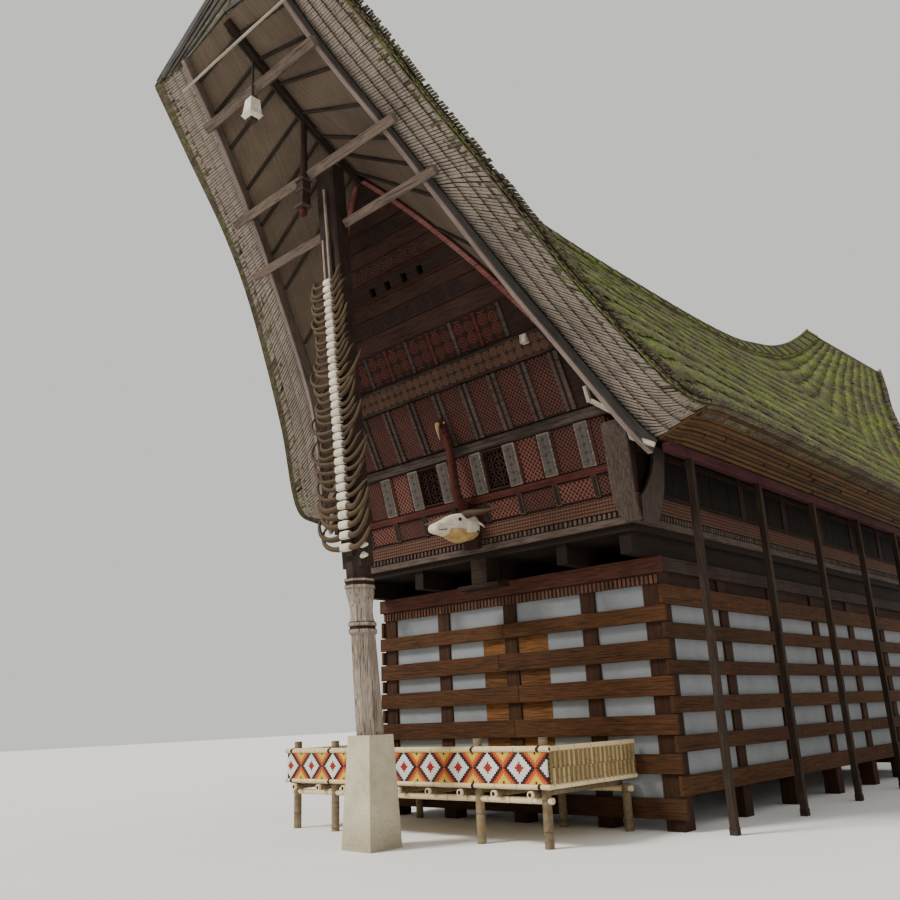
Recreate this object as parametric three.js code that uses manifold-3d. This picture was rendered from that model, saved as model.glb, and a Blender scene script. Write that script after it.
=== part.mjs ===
// A Toraja tongkonan: a long timber house on a railed under-storey, below a boat-shaped
// roof of layered bamboo whose two prows rise far beyond the gables. Millimetres, +Z up.
// The origin is on the ground under the middle of the house. The front gable faces -Y.
import * as THREE from 'three';
import { mergeVertices } from 'three/addons/utils/BufferGeometryUtils.js';
import Module from 'manifold-3d';

const wasm = await Module();
wasm.setup();

// Driving dimensions
const GAP = 0.3;                    // clearance between pieces that touch

const POST_Y = 8600;                // tall gable posts, from the middle of the house
const PILLAR_HEIGHT = 1390;
const PILLAR_FOOT = 550;
const PILLAR_HEAD = 425;
const POST_TOP = 9720;
const POST_LEAN = 0.083;            // outward lean of the tall posts, mm per mm of height

const LOWER_FRONT_Y = 5640;         // post faces of the under-storey
const LOWER_SIDE_X = 2840;
const CORNER_POST = 280;
const INNER_POST = 260;
const LOWER_TOP = 3660;
const PLANK_THICKNESS = 60;
const INFILL_THICKNESS = 30;
const FRONT_POSTS = [-1380, 85, 1600];
const SIDE_POSTS = [-3700, -1850, 0, 1850, 3700];
const FRONT_PLANKS = [[150, 420], [720, 980], [1220, 1490], [1735, 2000], [2225, 2495], [2740, 2970],
  [3270, 3660]];
const SIDE_PLANKS = [[440, 700], [990, 1210], [1500, 1725], [2010, 2215], [2505, 2730], [2980, 3260]];

const JOIST_WIDTH = 190;
const DECK_BOTTOM = 3960;
const SILL_BOTTOM = 4060;
const SILL_TOP = 4500;
const SILL_FRONT_Y = 6300;
const SILL_SIDE_X = 2950;
const SILL_DEPTH = 190;

const WALL_THICKNESS = 70;
const WALL_LEAN = 0.29;             // the gable wall leans out as it rises
const WALL_FOOT_Y = 6290;
const RAIL_BOTTOM = 5600;
const RAIL_TOP = 5760;
const GABLE_LEAN = 0.49;
const WALL_HALF_WIDTH = 2860;
const WINDOWS = [[-940, -500], [500, 940]];
const WINDOW_SILL = 4990;
const WINDOW_HEAD = 5560;
const GABLE_HOLES = [-540, -190, 190, 540];
const GABLE_HOLE_Z = 8330;
const GABLE_HOLE = 120;
const GABLE_BEAM = [6580, 6930];

const EAVE_BEAM_X = 3510;
const EAVE_BEAM_Z = 4950;
const EAVE_POSTS = [-5600, -3360, -1120, 1120, 3360, 5600];
const EAVE_POST = 100;

const STRATA = 6;                   // stepped layers along the verges and eaves
const STRATUM_STEP = 45;
const COURSES = 11;                 // lapped courses of bamboo down each slope
const COURSE_STEP = 40;
const CAP_REACH = 380;              // of the ridge cap, down each slope
const LOFT_STEPS = 2;               // sections between two named ones
const ROOM_RAFTERS = [12, 14, 15, 16, 16.6, 17.3, 18];      // sections that carry a rafter
const PROW_RAFTERS = [0.6, 2.4, 4.4];
const RAFTER_WIDTH = 60;
const RAFTER_DEPTH = 55;

const PLATFORM_X = [-2970, 2200];
const PLATFORM_Y = [-7700, -5700.3];
const PLATFORM_TOP = 1150;
const PLATFORM_DECK = 700;
const POLE = 88;

// The four long edges of a roof half, from the front prow's tip to the middle:
// outer edge, lower inner edge, ceiling ridge and outer ridge.
const OUTER_EDGE = [[1860, -11290, 11220], [2150, -10480, 10450], [2420, -9590, 9520], [2735, -8870, 8660],
  [3420, -7655, 6860], [4170, -6660, 5500], [4420, -6050, 5400], [4500, -4900, 5380], [4500, -3000, 5380],
  [4500, 0, 5380]];
const INNER_EDGE = [[1120, -11160, 11340], [1295, -10405, 10500], [1600, -9556, 9550], [1880, -8843, 8700],
  [2500, -7488, 7000], [3420, -6280, 5130], [3530, -5800, 5090], [3550, -4900, 5090], [3550, -3000, 5090],
  [3550, 0, 5090]];
const CEILING_RIDGE = [[0, -11230, 11360], [0, -10450, 10855], [0, -9600, 10340], [0, -8900, 9995],
  [0, -7520, 9450], [0, -6300, 9175], [0, -5800, 9120], [0, -4900, 9100], [0, -3000, 9080], [0, 0, 9050]];
const OUTER_RIDGE = [[0, -10900, 13200], [0, -10250, 12800], [0, -9450, 12380], [0, -8800, 12070],
  [0, -7550, 11620], [0, -6050, 11290], [0, -5500, 11180], [0, -4700, 11080], [0, -2900, 10980],
  [0, 0, 10950]];

const house = new THREE.Group();
const ends = { front: new THREE.Group(), rear: new THREE.Group() };
const sides = { right: new THREE.Group(), left: new THREE.Group() };
ends.rear.rotation.z = Math.PI;
sides.left.rotation.z = Math.PI;
house.add(ends.front, ends.rear, sides.right, sides.left);

// Adds one named piece to a group.
function piece(parent, name, shape, colour, roughness = 0.85) {
  const geometry = shape.isBufferGeometry ? shape : geometryOf(shape);
  const material = new THREE.MeshStandardMaterial({ color: colour, roughness, metalness: 0 });
  const mesh = new THREE.Mesh(geometry, material);
  mesh.name = name;
  parent.add(mesh);
}

// Turns a closed geometry into a solid that can be joined and cut.
function solid(geometry) {
  const bare = geometry.clone();
  bare.deleteAttribute('normal');
  bare.deleteAttribute('uv');
  const merged = mergeVertices(bare, 0.001);
  return new wasm.Manifold(new wasm.Mesh({
    numProp: 3,
    vertProperties: new Float32Array(merged.attributes.position.array),
    triVerts: new Uint32Array(merged.index.array),
  }));
}

function geometryOf(shape) {
  const mesh = shape.getMesh();
  const geometry = new THREE.BufferGeometry();
  geometry.setAttribute('position', new THREE.BufferAttribute(new Float32Array(mesh.vertProperties), 3));
  geometry.setIndex(new THREE.BufferAttribute(new Uint32Array(mesh.triVerts), 1));
  geometry.computeVertexNormals();
  return geometry;
}

function join(shapes) {
  return shapes.reduce((sum, shape) => sum.add(shape));
}

function block(x, y, z) {
  const box = new THREE.BoxGeometry(x[1] - x[0], y[1] - y[0], z[1] - z[0]);
  return solid(box.translate((x[0] + x[1]) / 2, (y[0] + y[1]) / 2, (z[0] + z[1]) / 2));
}

// A round or faceted pole between two points.
function pole(from, to, radiusFrom, radiusTo = radiusFrom, faces = 8) {
  const start = new THREE.Vector3(...from);
  const end = new THREE.Vector3(...to);
  const axis = end.clone().sub(start);
  const shaft = new THREE.CylinderGeometry(radiusTo, radiusFrom, axis.length(), faces);
  const turn = new THREE.Quaternion().setFromUnitVectors(new THREE.Vector3(0, 1, 0), axis.normalize());
  const middle = start.add(end).multiplyScalar(0.5);
  return solid(shaft.applyMatrix4(new THREE.Matrix4().compose(middle, turn, new THREE.Vector3(1, 1, 1))));
}

// A rectangular beam between two points; `depthAlong` is the direction of its depth.
function beam(from, to, width, depth, depthAlong) {
  const start = new THREE.Vector3(...from);
  const end = new THREE.Vector3(...to);
  const along = end.clone().sub(start);
  const box = new THREE.BoxGeometry(along.length(), width, depth);
  const ex = along.normalize();
  const ey = new THREE.Vector3(...depthAlong).cross(ex).normalize();
  const ez = ex.clone().cross(ey);
  const frame = new THREE.Matrix4().makeBasis(ex, ey, ez).setPosition(start.add(end).multiplyScalar(0.5));
  return solid(box.applyMatrix4(frame));
}

// A closed skin through rings of equally many points, with flat ends. `flat` maps a point
// of an end ring to two numbers, for filling the end.
function loft(rings, flat) {
  const count = rings[0].length;
  const positions = rings.flat().flatMap((p) => [p.x, p.y, p.z]);
  const index = [];
  for (let r = 0; r < rings.length - 1; r += 1) {
    for (let k = 0; k < count; k += 1) {
      const a = r * count + k;
      const b = r * count + ((k + 1) % count);
      index.push(a, b, b + count, a, b + count, a + count);
    }
  }
  const fill = (ring) => THREE.ShapeUtils.triangulateShape(ring.map(flat), []);
  const forward = THREE.ShapeUtils.area(rings[0].map(flat)) > 0;
  const last = (rings.length - 1) * count;
  for (const [a, b, c] of fill(rings[0])) {
    index.push(a, forward ? c : b, forward ? b : c);
  }
  for (const [a, b, c] of fill(rings[rings.length - 1])) {
    index.push(last + a, last + (forward ? b : c), last + (forward ? c : b));
  }
  const geometry = new THREE.BufferGeometry();
  geometry.setAttribute('position', new THREE.BufferAttribute(new Float32Array(positions), 3));
  geometry.setIndex(volumeOf(positions, index) > 0 ? index : index.reverse());
  return geometry;
}

function volumeOf(positions, index) {
  const corner = (i) => new THREE.Vector3(positions[3 * i], positions[3 * i + 1], positions[3 * i + 2]);
  let total = 0;
  for (let t = 0; t < index.length; t += 3) {
    total += corner(index[t]).dot(corner(index[t + 1]).cross(corner(index[t + 2])));
  }
  return total / 6;
}

// A plate cut from an outline in the plane spanned by `ex` and `ey`, standing `thickness`
// in the direction ex × ey from `origin`, with holes cut through it.
function plate(outline, holes, thickness, origin, ex, ey) {
  const x = new THREE.Vector3(...ex).normalize();
  const y = new THREE.Vector3(...ey).normalize();
  const frame = new THREE.Matrix4().makeBasis(x, y, x.clone().cross(y)).setPosition(...origin);
  const slab = (points, from, to) => {
    const shape = new THREE.Shape(points.map(([u, v]) => new THREE.Vector2(u, v)));
    const geometry = new THREE.ExtrudeGeometry(shape, { depth: to - from, bevelEnabled: false });
    return solid(geometry.translate(0, 0, from).applyMatrix4(frame));
  };
  const cut = (rest, hole) => rest.subtract(slab(hole, -5, thickness + 5));
  return holes.reduce(cut, slab(outline, 0, thickness));
}

function rectangle(u0, u1, v0, v1) {
  return [[u0, v0], [u1, v0], [u1, v1], [u0, v1]];
}

// A round section swept along points, thick enough to be one closed tube.
function sweep(points, radius, steps, faces = 6) {
  const section = new THREE.Shape();
  section.absarc(0, 0, radius, 0, 2 * Math.PI, false);
  const path = new THREE.CatmullRomCurve3(points.map((p) => new THREE.Vector3(...p)));
  return solid(new THREE.ExtrudeGeometry(section, { steps, extrudePath: path, curveSegments: faces / 2 }));
}

// Roof sections: the named edges, mirrored behind the middle and smoothed.
function edgeCurve(points) {
  const rear = points.slice(0, -1).reverse().map(([x, y, z]) => [x, -y, z]);
  const all = [...points, ...rear].map((p) => new THREE.Vector3(...p));
  return new THREE.CatmullRomCurve3(all, false, 'centripetal');
}

const outerEdge = edgeCurve(OUTER_EDGE);
const innerEdge = edgeCurve(INNER_EDGE);
const ceilingRidge = edgeCurve(CEILING_RIDGE);
const outerRidge = edgeCurve(OUTER_RIDGE);
const STATIONS = (2 * OUTER_EDGE.length - 2) * LOFT_STEPS;

function station(i) {
  const t = i / STATIONS;
  return {
    outer: outerEdge.getPoint(t),
    inner: innerEdge.getPoint(t),
    ceiling: ceilingRidge.getPoint(t),
    ridge: outerRidge.getPoint(t),
    along: innerEdge.getTangent(t),
  };
}

const stations = Array.from({ length: STATIONS + 1 }, (_, i) => station(i));

// One half of the roof: a straight outer slope, a straight ceiling, and between their
// lower edges the stepped ends of the bamboo layers.
function roofHalf(middleX, overrun = 0) {
  const rings = stations.map(({ outer, inner, ceiling, ridge, along }) => {
    const face = inner.clone().sub(outer);
    const inward = face.clone().cross(along).normalize();
    if (inward.dot(ridge.clone().sub(outer)) < 0) {
      inward.negate();
    }
    const slope = outer.clone().sub(ridge);
    const sunk = slope.clone().cross(along).setLength(COURSE_STEP);
    if (sunk.z > 0) {
      sunk.negate();
    }
    const plain = (CAP_REACH + 40) / slope.length();
    const ring = [ridge.clone().setX(middleX)];
    for (let k = 0; k < COURSES; k += 1) {
      const edge = ridge.clone().addScaledVector(slope, plain + (1 - plain) * k / COURSES);
      ring.push(edge, edge.clone().add(sunk));
    }
    ring.push(outer.clone());
    for (let k = 1; k < STRATA; k += 1) {
      const edge = outer.clone().addScaledVector(face, k / STRATA);
      ring.push(edge, edge.clone().addScaledVector(inward, STRATUM_STEP));
    }
    ring.push(inner.clone(), ceiling.clone().setX(middleX));
    return ring;
  });
  if (overrun > 0) {
    const shifted = (ring, next) => ring.map((p, k) => p.clone().add(
      p.clone().sub(next[k]).setX(0).setLength(overrun)));
    rings.unshift(shifted(rings[0], rings[1]));
    rings.push(shifted(rings[rings.length - 1], rings[rings.length - 2]));
  }
  return loft(rings, (p) => new THREE.Vector2(p.x, p.z));
}

// Rafters under the ceiling of one half, in the room and in both prows.
function rafters() {
  const mirrored = (list) => [...list, ...list.filter((i) => i < STATIONS / 2).map((i) => STATIONS - i)];
  const rafter = (i, footX) => {
    const { inner, ceiling } = station(i);
    const at = (x) => inner.clone().lerp(ceiling, 1 - x / inner.x).toArray();
    return beam(at(Math.min(footX, inner.x - BOARD_WIDTH - 20)), at(RAFTER_WIDTH), RAFTER_WIDTH,
      2 * RAFTER_DEPTH, [0, 0, 1]);
  };
  return join(mirrored([...ROOM_RAFTERS, ...PROW_RAFTERS]).map((i) => rafter(i, 2700)));
}

// A geometry together with its copy turned half round the middle of the house.
function bothHalves(geometry) {
  return solid(geometry).add(solid(geometry.clone().rotateZ(Math.PI)));
}

// Everything above the ceiling and a hair below it, for cutting walls to the roof.
function aboveCeilingHalf() {
  const reach = 2500;
  const rings = stations.map(({ inner, ceiling }) => [
    new THREE.Vector3(inner.x, inner.y, inner.z - GAP),
    new THREE.Vector3(-GAP, ceiling.y, ceiling.z - GAP),
    new THREE.Vector3(-GAP, ceiling.y, ceiling.z + 3 * reach),
    new THREE.Vector3(inner.x + reach, inner.y, inner.z + 3 * reach),
    new THREE.Vector3(inner.x + reach, inner.y, inner.z - GAP),
  ]);
  return loft(rings, (p) => new THREE.Vector2(p.x, p.z));
}

const BOARD_WIDTH = 70;             // of the boards under the verges
const roofShape = solid(roofHalf(GAP / 2)).add(rafters());
const aboveCeiling = bothHalves(aboveCeilingHalf());

// A folded cap along the ridge, bedded on both slopes.
function ridgeCap() {
  const depth = 60;
  const rings = stations.map(({ outer, ridge }) => {
    const down = outer.clone().sub(ridge).normalize();
    const lift = new THREE.Vector3(-down.z, 0, down.x).normalize();
    const crown = ridge.clone().setX(0);
    const low = crown.clone().addScaledVector(down, CAP_REACH);
    const mirror = (p) => new THREE.Vector3(-p.x, p.y, p.z);
    const side = [low.clone().addScaledVector(lift, -depth), low.clone().addScaledVector(lift, depth)];
    const top = crown.clone().add(new THREE.Vector3(0, 0, depth * 1.8));
    const under = crown.clone().add(new THREE.Vector3(0, 0, -3 * depth));
    return [...side, top, ...side.map(mirror).reverse(), under];
  });
  const raised = roofHalf(-GAP, 300).translate(0, 0, 4 * GAP);
  return solid(loft(rings, (p) => new THREE.Vector2(p.x, p.z))).subtract(bothHalves(raised));
}

// The boards under the verges, the tie beams across them, all of one end.
const BOARD_DEPTH = 200;
const LAST_BOARD_STATION = 5 * LOFT_STEPS;
const TIES = [{ station: 1.76, beyond: 60 }, { station: 4, beyond: 290 }, { station: 5.6, beyond: 290 }];
const TIE_HEIGHT = 160;
const TIE_DEPTH = 140;

function outwardFrom(along) {
  const outward = new THREE.Vector3(0, along.z, -along.y).normalize();
  return outward.y > 0 ? outward.negate() : outward;
}

function bargeBoard(sign) {
  const rings = stations.slice(0, LAST_BOARD_STATION + 1).map(({ inner, along }) => {
    const outward = outwardFrom(along);
    const root = inner.clone().setX(sign * inner.x).addScaledVector(outward, GAP);
    const width = new THREE.Vector3(-sign * BOARD_WIDTH, 0, 0);
    const tip = root.clone().addScaledVector(outward, BOARD_DEPTH);
    return [root, tip, tip.clone().add(width), root.clone().add(width)];
  });
  return solid(loft(rings, (p) => new THREE.Vector2(p.x, p.y + p.z)));
}

function tieBeam({ station: where, beyond }) {
  const { inner, along } = station(where);
  const outward = outwardFrom(along);
  const centre = inner.clone().addScaledVector(outward, BOARD_DEPTH + TIE_DEPTH / 2 - 20);
  const half = inner.x + beyond;
  const ends = [-half, half].map((x) => [x, centre.y, centre.z]);
  return beam(...ends, TIE_HEIGHT, TIE_DEPTH, outward.toArray());
}

function postCentreY(z) {
  return -POST_Y - POST_LEAN * (z - PILLAR_HEIGHT);
}

function vergeFrame() {
  const clearance = GAP + 0.2;
  const [top, middle, low] = TIES.map(tieBeam);
  const post = postSection(3600, POST_TOP + 300, UPPER_POST_X + 2 * clearance, UPPER_POST_Y + 2 * clearance);
  return join([bargeBoard(1), bargeBoard(-1), top, middle, low]).subtract(post).subtract(aboveCeiling);
}

// Tall gable post: an eight-sided shaft with a ringed vase, then a flat upper part.
const UPPER_POST_X = 400;
const UPPER_POST_Y = 240;

function postSection(z0, z1, width, depth) {
  const ring = (z) => rectangle(-width / 2, width / 2, -depth / 2, depth / 2)
    .map(([x, y]) => new THREE.Vector3(x, postCentreY(z) + y, z));
  return solid(loft([ring(z0), ring(z1)], (p) => new THREE.Vector2(p.x, p.y)));
}

function gablePost() {
  const profile = [[1390 + GAP, 195], [2700, 178], [2712, 205], [2760, 208], [2772, 190], [2800, 190],
    [2812, 208], [2850, 205], [2862, 182], [3000, 172], [3150, 190], [3270, 212], [3300, 205], [3312, 222],
    [3350, 224], [3362, 206], [3390, 206], [3402, 222], [3440, 220], [3452, 185], [3700, 185]];
  const rings = profile.map(([z, radius]) => Array.from({ length: 8 }, (_, k) => {
    const angle = (k + 0.5) * Math.PI / 4;
    return new THREE.Vector3(radius * Math.cos(angle), postCentreY(z) + radius * Math.sin(angle), z);
  }));
  const turned = solid(loft(rings, (p) => new THREE.Vector2(p.x, p.y)));
  return turned.add(postSection(3600, POST_TOP, UPPER_POST_X, UPPER_POST_Y));
}

function pillar() {
  const ring = (half, z) => rectangle(-half, half, -half, half)
    .map(([x, y]) => new THREE.Vector3(x, y - POST_Y, z));
  const rings = [ring(PILLAR_FOOT / 2, 0), ring(PILLAR_HEAD / 2, PILLAR_HEIGHT)];
  return loft(rings, (p) => new THREE.Vector2(p.x, p.y));
}

// Buffalo horns stacked on a board up the front of the post.
const HORNS = 26;
const HORN_BOTTOM = 3850;
const HORN_TOP = 8350;
const HORN_RADIUS = 27;

function hornStack() {
  const faceY = (z) => postCentreY(z) - UPPER_POST_Y / 2 - GAP;
  const boardDepth = 45;
  const board = [HORN_BOTTOM - 120, HORN_TOP + 120].map((z) => [
    new THREE.Vector3(-75, faceY(z), z), new THREE.Vector3(75, faceY(z), z),
    new THREE.Vector3(75, faceY(z) - boardDepth, z), new THREE.Vector3(-75, faceY(z) - boardDepth, z)]);
  const shapes = [solid(loft(board, (p) => new THREE.Vector2(p.x, p.y)))];
  for (let k = 0; k < HORNS; k += 1) {
    const share = k / (HORNS - 1);
    const z = HORN_BOTTOM + share * (HORN_TOP - HORN_BOTTOM);
    const reach = 470 - 130 * Math.sqrt(share);
    const rise = 0.95 * reach;
    const y = faceY(z) - boardDepth;
    const arc = [];
    for (let a = -4; a <= 4; a += 1) {
      const angle = a / 4 * 1.75;
      const lift = rise * (0.35 - 0.35 * Math.cos(angle));
      arc.push([reach * Math.sin(angle), y - 70 * Math.cos(angle) + 55, z + lift]);
    }
    shapes.push(sweep(arc, HORN_RADIUS, 10));
  }
  return join(shapes);
}

// Under-storey: posts joined to the planks that run across them.
function lowerEnd() {
  const face = -LOWER_FRONT_Y;
  const outer = LOWER_SIDE_X;
  const shapes = [];
  for (const sign of [-1, 1]) {
    const x = [sign * outer, sign * (outer - CORNER_POST)].sort((a, b) => a - b);
    shapes.push(block(x, [face, face + CORNER_POST], [0, LOWER_TOP]));
  }
  for (const x of FRONT_POSTS) {
    shapes.push(block([x - INNER_POST / 2, x + INNER_POST / 2], [face, face + INNER_POST], [0, LOWER_TOP]));
  }
  for (const z of FRONT_PLANKS) {
    shapes.push(block([-outer - 90, outer + 90], [face - PLANK_THICKNESS, face + 5], z));
  }
  return join(shapes);
}

function lowerSide() {
  const face = LOWER_SIDE_X;
  const end = LOWER_FRONT_Y;
  const shapes = SIDE_POSTS.map((y) => block([face - INNER_POST, face + GAP],
    [y - INNER_POST / 2, y + INNER_POST / 2], [0, LOWER_TOP]));
  for (const z of SIDE_PLANKS) {
    shapes.push(block([face + GAP, face + GAP + PLANK_THICKNESS], [-end - 60, end + 60], z));
  }
  const reach = end - 5 - GAP;
  const plate = block([face + GAP, face + GAP + PLANK_THICKNESS], [-reach, reach], [3450, LOWER_TOP]);
  return join([...shapes, plate]);
}

function infillEnd() {
  const y = -LOWER_FRONT_Y + INNER_POST + GAP;
  const x = LOWER_SIDE_X - CORNER_POST - GAP;
  return block([-x, x], [y, y + INFILL_THICKNESS], [430, 3400]);
}

function infillSide() {
  const x = LOWER_SIDE_X - INNER_POST - GAP;
  const y = LOWER_FRONT_Y - CORNER_POST - GAP - 100;
  return block([x - INFILL_THICKNESS, x], [-y, y], [710, 3400]);
}

// Floor: boards on long joists that carry the overhanging ends.
function floor() {
  const x = SILL_SIDE_X - 60;
  const y = SILL_FRONT_Y - 60;
  const shapes = [block([-x, x], [-y, y], [DECK_BOTTOM, SILL_BOTTOM - GAP])];
  for (const at of [-2700, -1380, 85, 1600, 2700]) {
    const reach = at === 85 ? y - 380 : y - 40;
    const joist = [at - JOIST_WIDTH / 2, at + JOIST_WIDTH / 2];
    shapes.push(block(joist, [-reach, reach], [LOWER_TOP + GAP, DECK_BOTTOM + 5]));
  }
  return join(shapes);
}

function sillRing() {
  const outer = block([-SILL_SIDE_X, SILL_SIDE_X], [-SILL_FRONT_Y, SILL_FRONT_Y], [SILL_BOTTOM, SILL_TOP]);
  const x = SILL_SIDE_X - SILL_DEPTH;
  const y = SILL_FRONT_Y - SILL_DEPTH;
  return outer.subtract(block([-x, x], [-y, y], [SILL_BOTTOM - 1, SILL_TOP + 1]));
}

// Distance of the end wall's outer face from the middle, at a height.
function wallFace(z) {
  const lower = WALL_FOOT_Y + WALL_LEAN * (Math.min(z, RAIL_BOTTOM) - SILL_TOP);
  return lower + Math.max(0, z - RAIL_BOTTOM) * GABLE_LEAN;
}

// A plate on the end wall's slope, given by heights, standing `proud` of the face.
function onWall(x0, x1, z0, z1, lean, proud, thickness, holes = []) {
  const stretch = Math.hypot(1, lean);
  const outline = rectangle(x0, x1, 0, (z1 - z0) * stretch);
  const cuts = holes.map(([a, b, low, high]) => rectangle(a, b, (low - z0) * stretch, (high - z0) * stretch));
  const back = -wallFace(z0) - (proud - thickness) * stretch;
  return plate(outline, cuts, thickness, [0, back, z0], [1, 0, 0], [0, -lean, 1]);
}

function endWall(openings) {
  const windows = openings.map(([a, b]) => [a, b, WINDOW_SILL, WINDOW_HEAD]);
  const wall = onWall(-WALL_HALF_WIDTH, WALL_HALF_WIDTH, SILL_TOP + 30, RAIL_BOTTOM - 30, WALL_LEAN, 0,
    WALL_THICKNESS, windows);
  const foot = block([-WALL_HALF_WIDTH, WALL_HALF_WIDTH], [-WALL_FOOT_Y, -WALL_FOOT_Y + 60],
    [SILL_TOP + GAP, SILL_TOP + 60]);
  return wall.add(foot).subtract(aboveCeiling);
}

function upperRail() {
  const y = wallFace(RAIL_BOTTOM);
  return block([-SILL_SIDE_X - 60, SILL_SIDE_X + 60], [-y - 70, -y + 100], [RAIL_BOTTOM, RAIL_TOP])
    .subtract(aboveCeiling);
}

function lowerRail() {
  return onWall(-WALL_HALF_WIDTH, WALL_HALF_WIDTH, 4830, 4930, WALL_LEAN, 45 + GAP, 45);
}

function gable(withHoles) {
  const half = GABLE_HOLE / 2;
  const holes = withHoles
    ? GABLE_HOLES.map((x) => [x - half, x + half, GABLE_HOLE_Z - half, GABLE_HOLE_Z + half]) : [];
  return onWall(-WALL_HALF_WIDTH, WALL_HALF_WIDTH, RAIL_TOP + 32, 10300, GABLE_LEAN, 0, WALL_THICKNESS, holes)
    .subtract(aboveCeiling);
}

// Red boards that follow the ceiling down both edges of the gable, with the carved beam
// that runs across between them.
function gableFrame() {
  const depth = 290;
  const boards = onWall(-3350, 3350, RAIL_TOP + 95, 10300, GABLE_LEAN, 60 + GAP, 60);
  const lowered = (sign) => {
    const rings = stations.map(({ inner, ceiling }) => [
      new THREE.Vector3(-sign, ceiling.y, ceiling.z - depth),
      new THREE.Vector3(sign * inner.x, inner.y, inner.z - depth),
      new THREE.Vector3(sign * inner.x, inner.y, inner.z + 6000),
      new THREE.Vector3(-sign, ceiling.y, ceiling.z + 6000),
    ]);
    return solid(loft(rings, (p) => new THREE.Vector2(p.x, p.z)));
  };
  const band = lowered(1).add(lowered(-1));
  const beamAcross = onWall(-WALL_HALF_WIDTH, WALL_HALF_WIDTH, GABLE_BEAM[0], GABLE_BEAM[1], GABLE_LEAN,
    110 + GAP, 110);
  return boards.intersect(band).add(beamAcross).subtract(aboveCeiling);
}

function sideWall() {
  const top = 6400;
  const foot = SILL_TOP + GAP;
  const behind = (z) => wallFace(z) - WALL_THICKNESS * Math.hypot(1, WALL_LEAN) - GAP;
  const end = WALL_FOOT_Y - 60 - 8;
  const atRail = wallFace(RAIL_BOTTOM) - 100 - GAP;
  const front = [[-end, foot], [-end, SILL_TOP + 62], [-behind(RAIL_BOTTOM - 60), RAIL_BOTTOM - 60],
    [-atRail, RAIL_BOTTOM - 60], [-atRail, top]];
  const rear = front.map(([y, z]) => [-y, z]).reverse();
  const innerX = WALL_HALF_WIDTH + 40 - WALL_THICKNESS;
  return plate([...front, ...rear].reverse(), [], WALL_THICKNESS, [innerX, 0, 0], [0, 1, 0], [0, 0, 1])
    .subtract(aboveCeiling);
}

// Curved boards that close the corners of the upper wall.
function cornerBoard(sign) {
  const lean = 0.2;
  const foot = SILL_BOTTOM + 10;
  const height = (5480 - foot) * Math.hypot(1, lean);
  const curve = [[2840, 0], [3075, 0], [3052, 200], [3066, 700], [3140, height], [2738, height],
    [2714, 840], [2698, 340], [2745, 130]];
  const outline = sign > 0 ? curve : curve.map(([u, v]) => [-u, v]).reverse();
  const y = -SILL_FRONT_Y - GAP;
  return plate(outline, [], 48, [0, y, foot], [1, 0, 0], [0, -lean, 1]);
}

function sideCornerBoard() {
  const curve = [[-6160, 0], [-5760, 0], [-5600, 250], [-5470, 560], [-5400, 880], [-5330, 1200],
    [-5640, 1200], [-5690, 980], [-5800, 740], [-5990, 500], [-6140, 370]];
  const x = SILL_SIDE_X + GAP;
  return plate(curve, [], 48, [x, 0, SILL_BOTTOM + 10], [0, 1, 0], [0, 0, 1]);
}

// Room for the wall and its lower rail behind the carvings on the front.
function wallClearance() {
  const wall = onWall(-800, 800, 4400, RAIL_BOTTOM - 30, WALL_LEAN, GAP, 400);
  const rail = onWall(-800, 800, 4810, 4980, WALL_LEAN, 45 + 2 * GAP, 100);
  return wall.add(rail);
}

// Long-necked bird on the middle of the front.
function bird() {
  const path = [[0, -6420, 4800], [0, -6560, 4810], [0, -6660, 4930], [0, -6740, 5250], [0, -6800, 5640],
    [0, -6875, 5890], [0, -6960, 6030]];
  const neck = sweep(path, 75, 14, 8);
  const head = new THREE.SphereGeometry(100, 10, 8);
  head.scale(0.85, 1.1, 0.9);
  head.translate(0, -6980, 6055);
  const beak = pole([0, -7055, 6060], [0, -7010, 5810], 50, 8, 6);
  const root = block([-95, 95], [-6520, -6330], [4720, 4835]);
  return join([neck, solid(head), beak, root]).subtract(wallClearance());
}

// Buffalo head looking straight out from the sill, with wide level horns.
const HEAD_SECTIONS = [[-6370, 4440, 200, 200], [-6480, 4445, 245, 230], [-6620, 4445, 250, 240],
  [-6820, 4440, 210, 215], [-7000, 4400, 165, 165], [-7150, 4360, 130, 120], [-7290, 4335, 75, 60]];

function buffaloHead() {
  const ring = ([y, z, halfX, halfZ]) => Array.from({ length: 10 }, (_, k) => {
    const angle = k * Math.PI / 5;
    return new THREE.Vector3(halfX * Math.cos(angle), y, z + halfZ * Math.sin(angle));
  });
  const head = solid(loft(HEAD_SECTIONS.map(ring), (p) => new THREE.Vector2(p.x, p.z)));
  const neck = block([-150, 150], [-6420, -SILL_FRONT_Y - GAP], [4110, 4530]);
  const horn = (s) => [pole([s * 100, -6690, 4600], [s * 460, -6720, 4590], 72, 48),
    pole([s * 440, -6720, 4588], [s * 820, -6600, 4625], 48, 10)];
  return join([head, neck, ...horn(1), ...horn(-1)]).subtract(wallClearance());
}

function centreBracket() {
  const body = block([-160, 160], [-6240, -5900], [3560, DECK_BOTTOM - GAP]);
  const shelf = block([-420, 420], [-6290, -6020], [3500, 3565]);
  return body.add(shelf);
}

// Front platform of bamboo.
const PLATFORM_POSTS = [-2850, -1930, 990, 2080];
const PLATFORM_POST_RADIUS = 66;
const FRONT_POST_ROW = PLATFORM_Y[0] + POLE / 2 + PLATFORM_POST_RADIUS + GAP;
const BACK_POST_ROW = PLATFORM_Y[1] - 90;
const JOIST_TOP = 666;
const GUARD_INSET = POLE / 2 + GAP;

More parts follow.
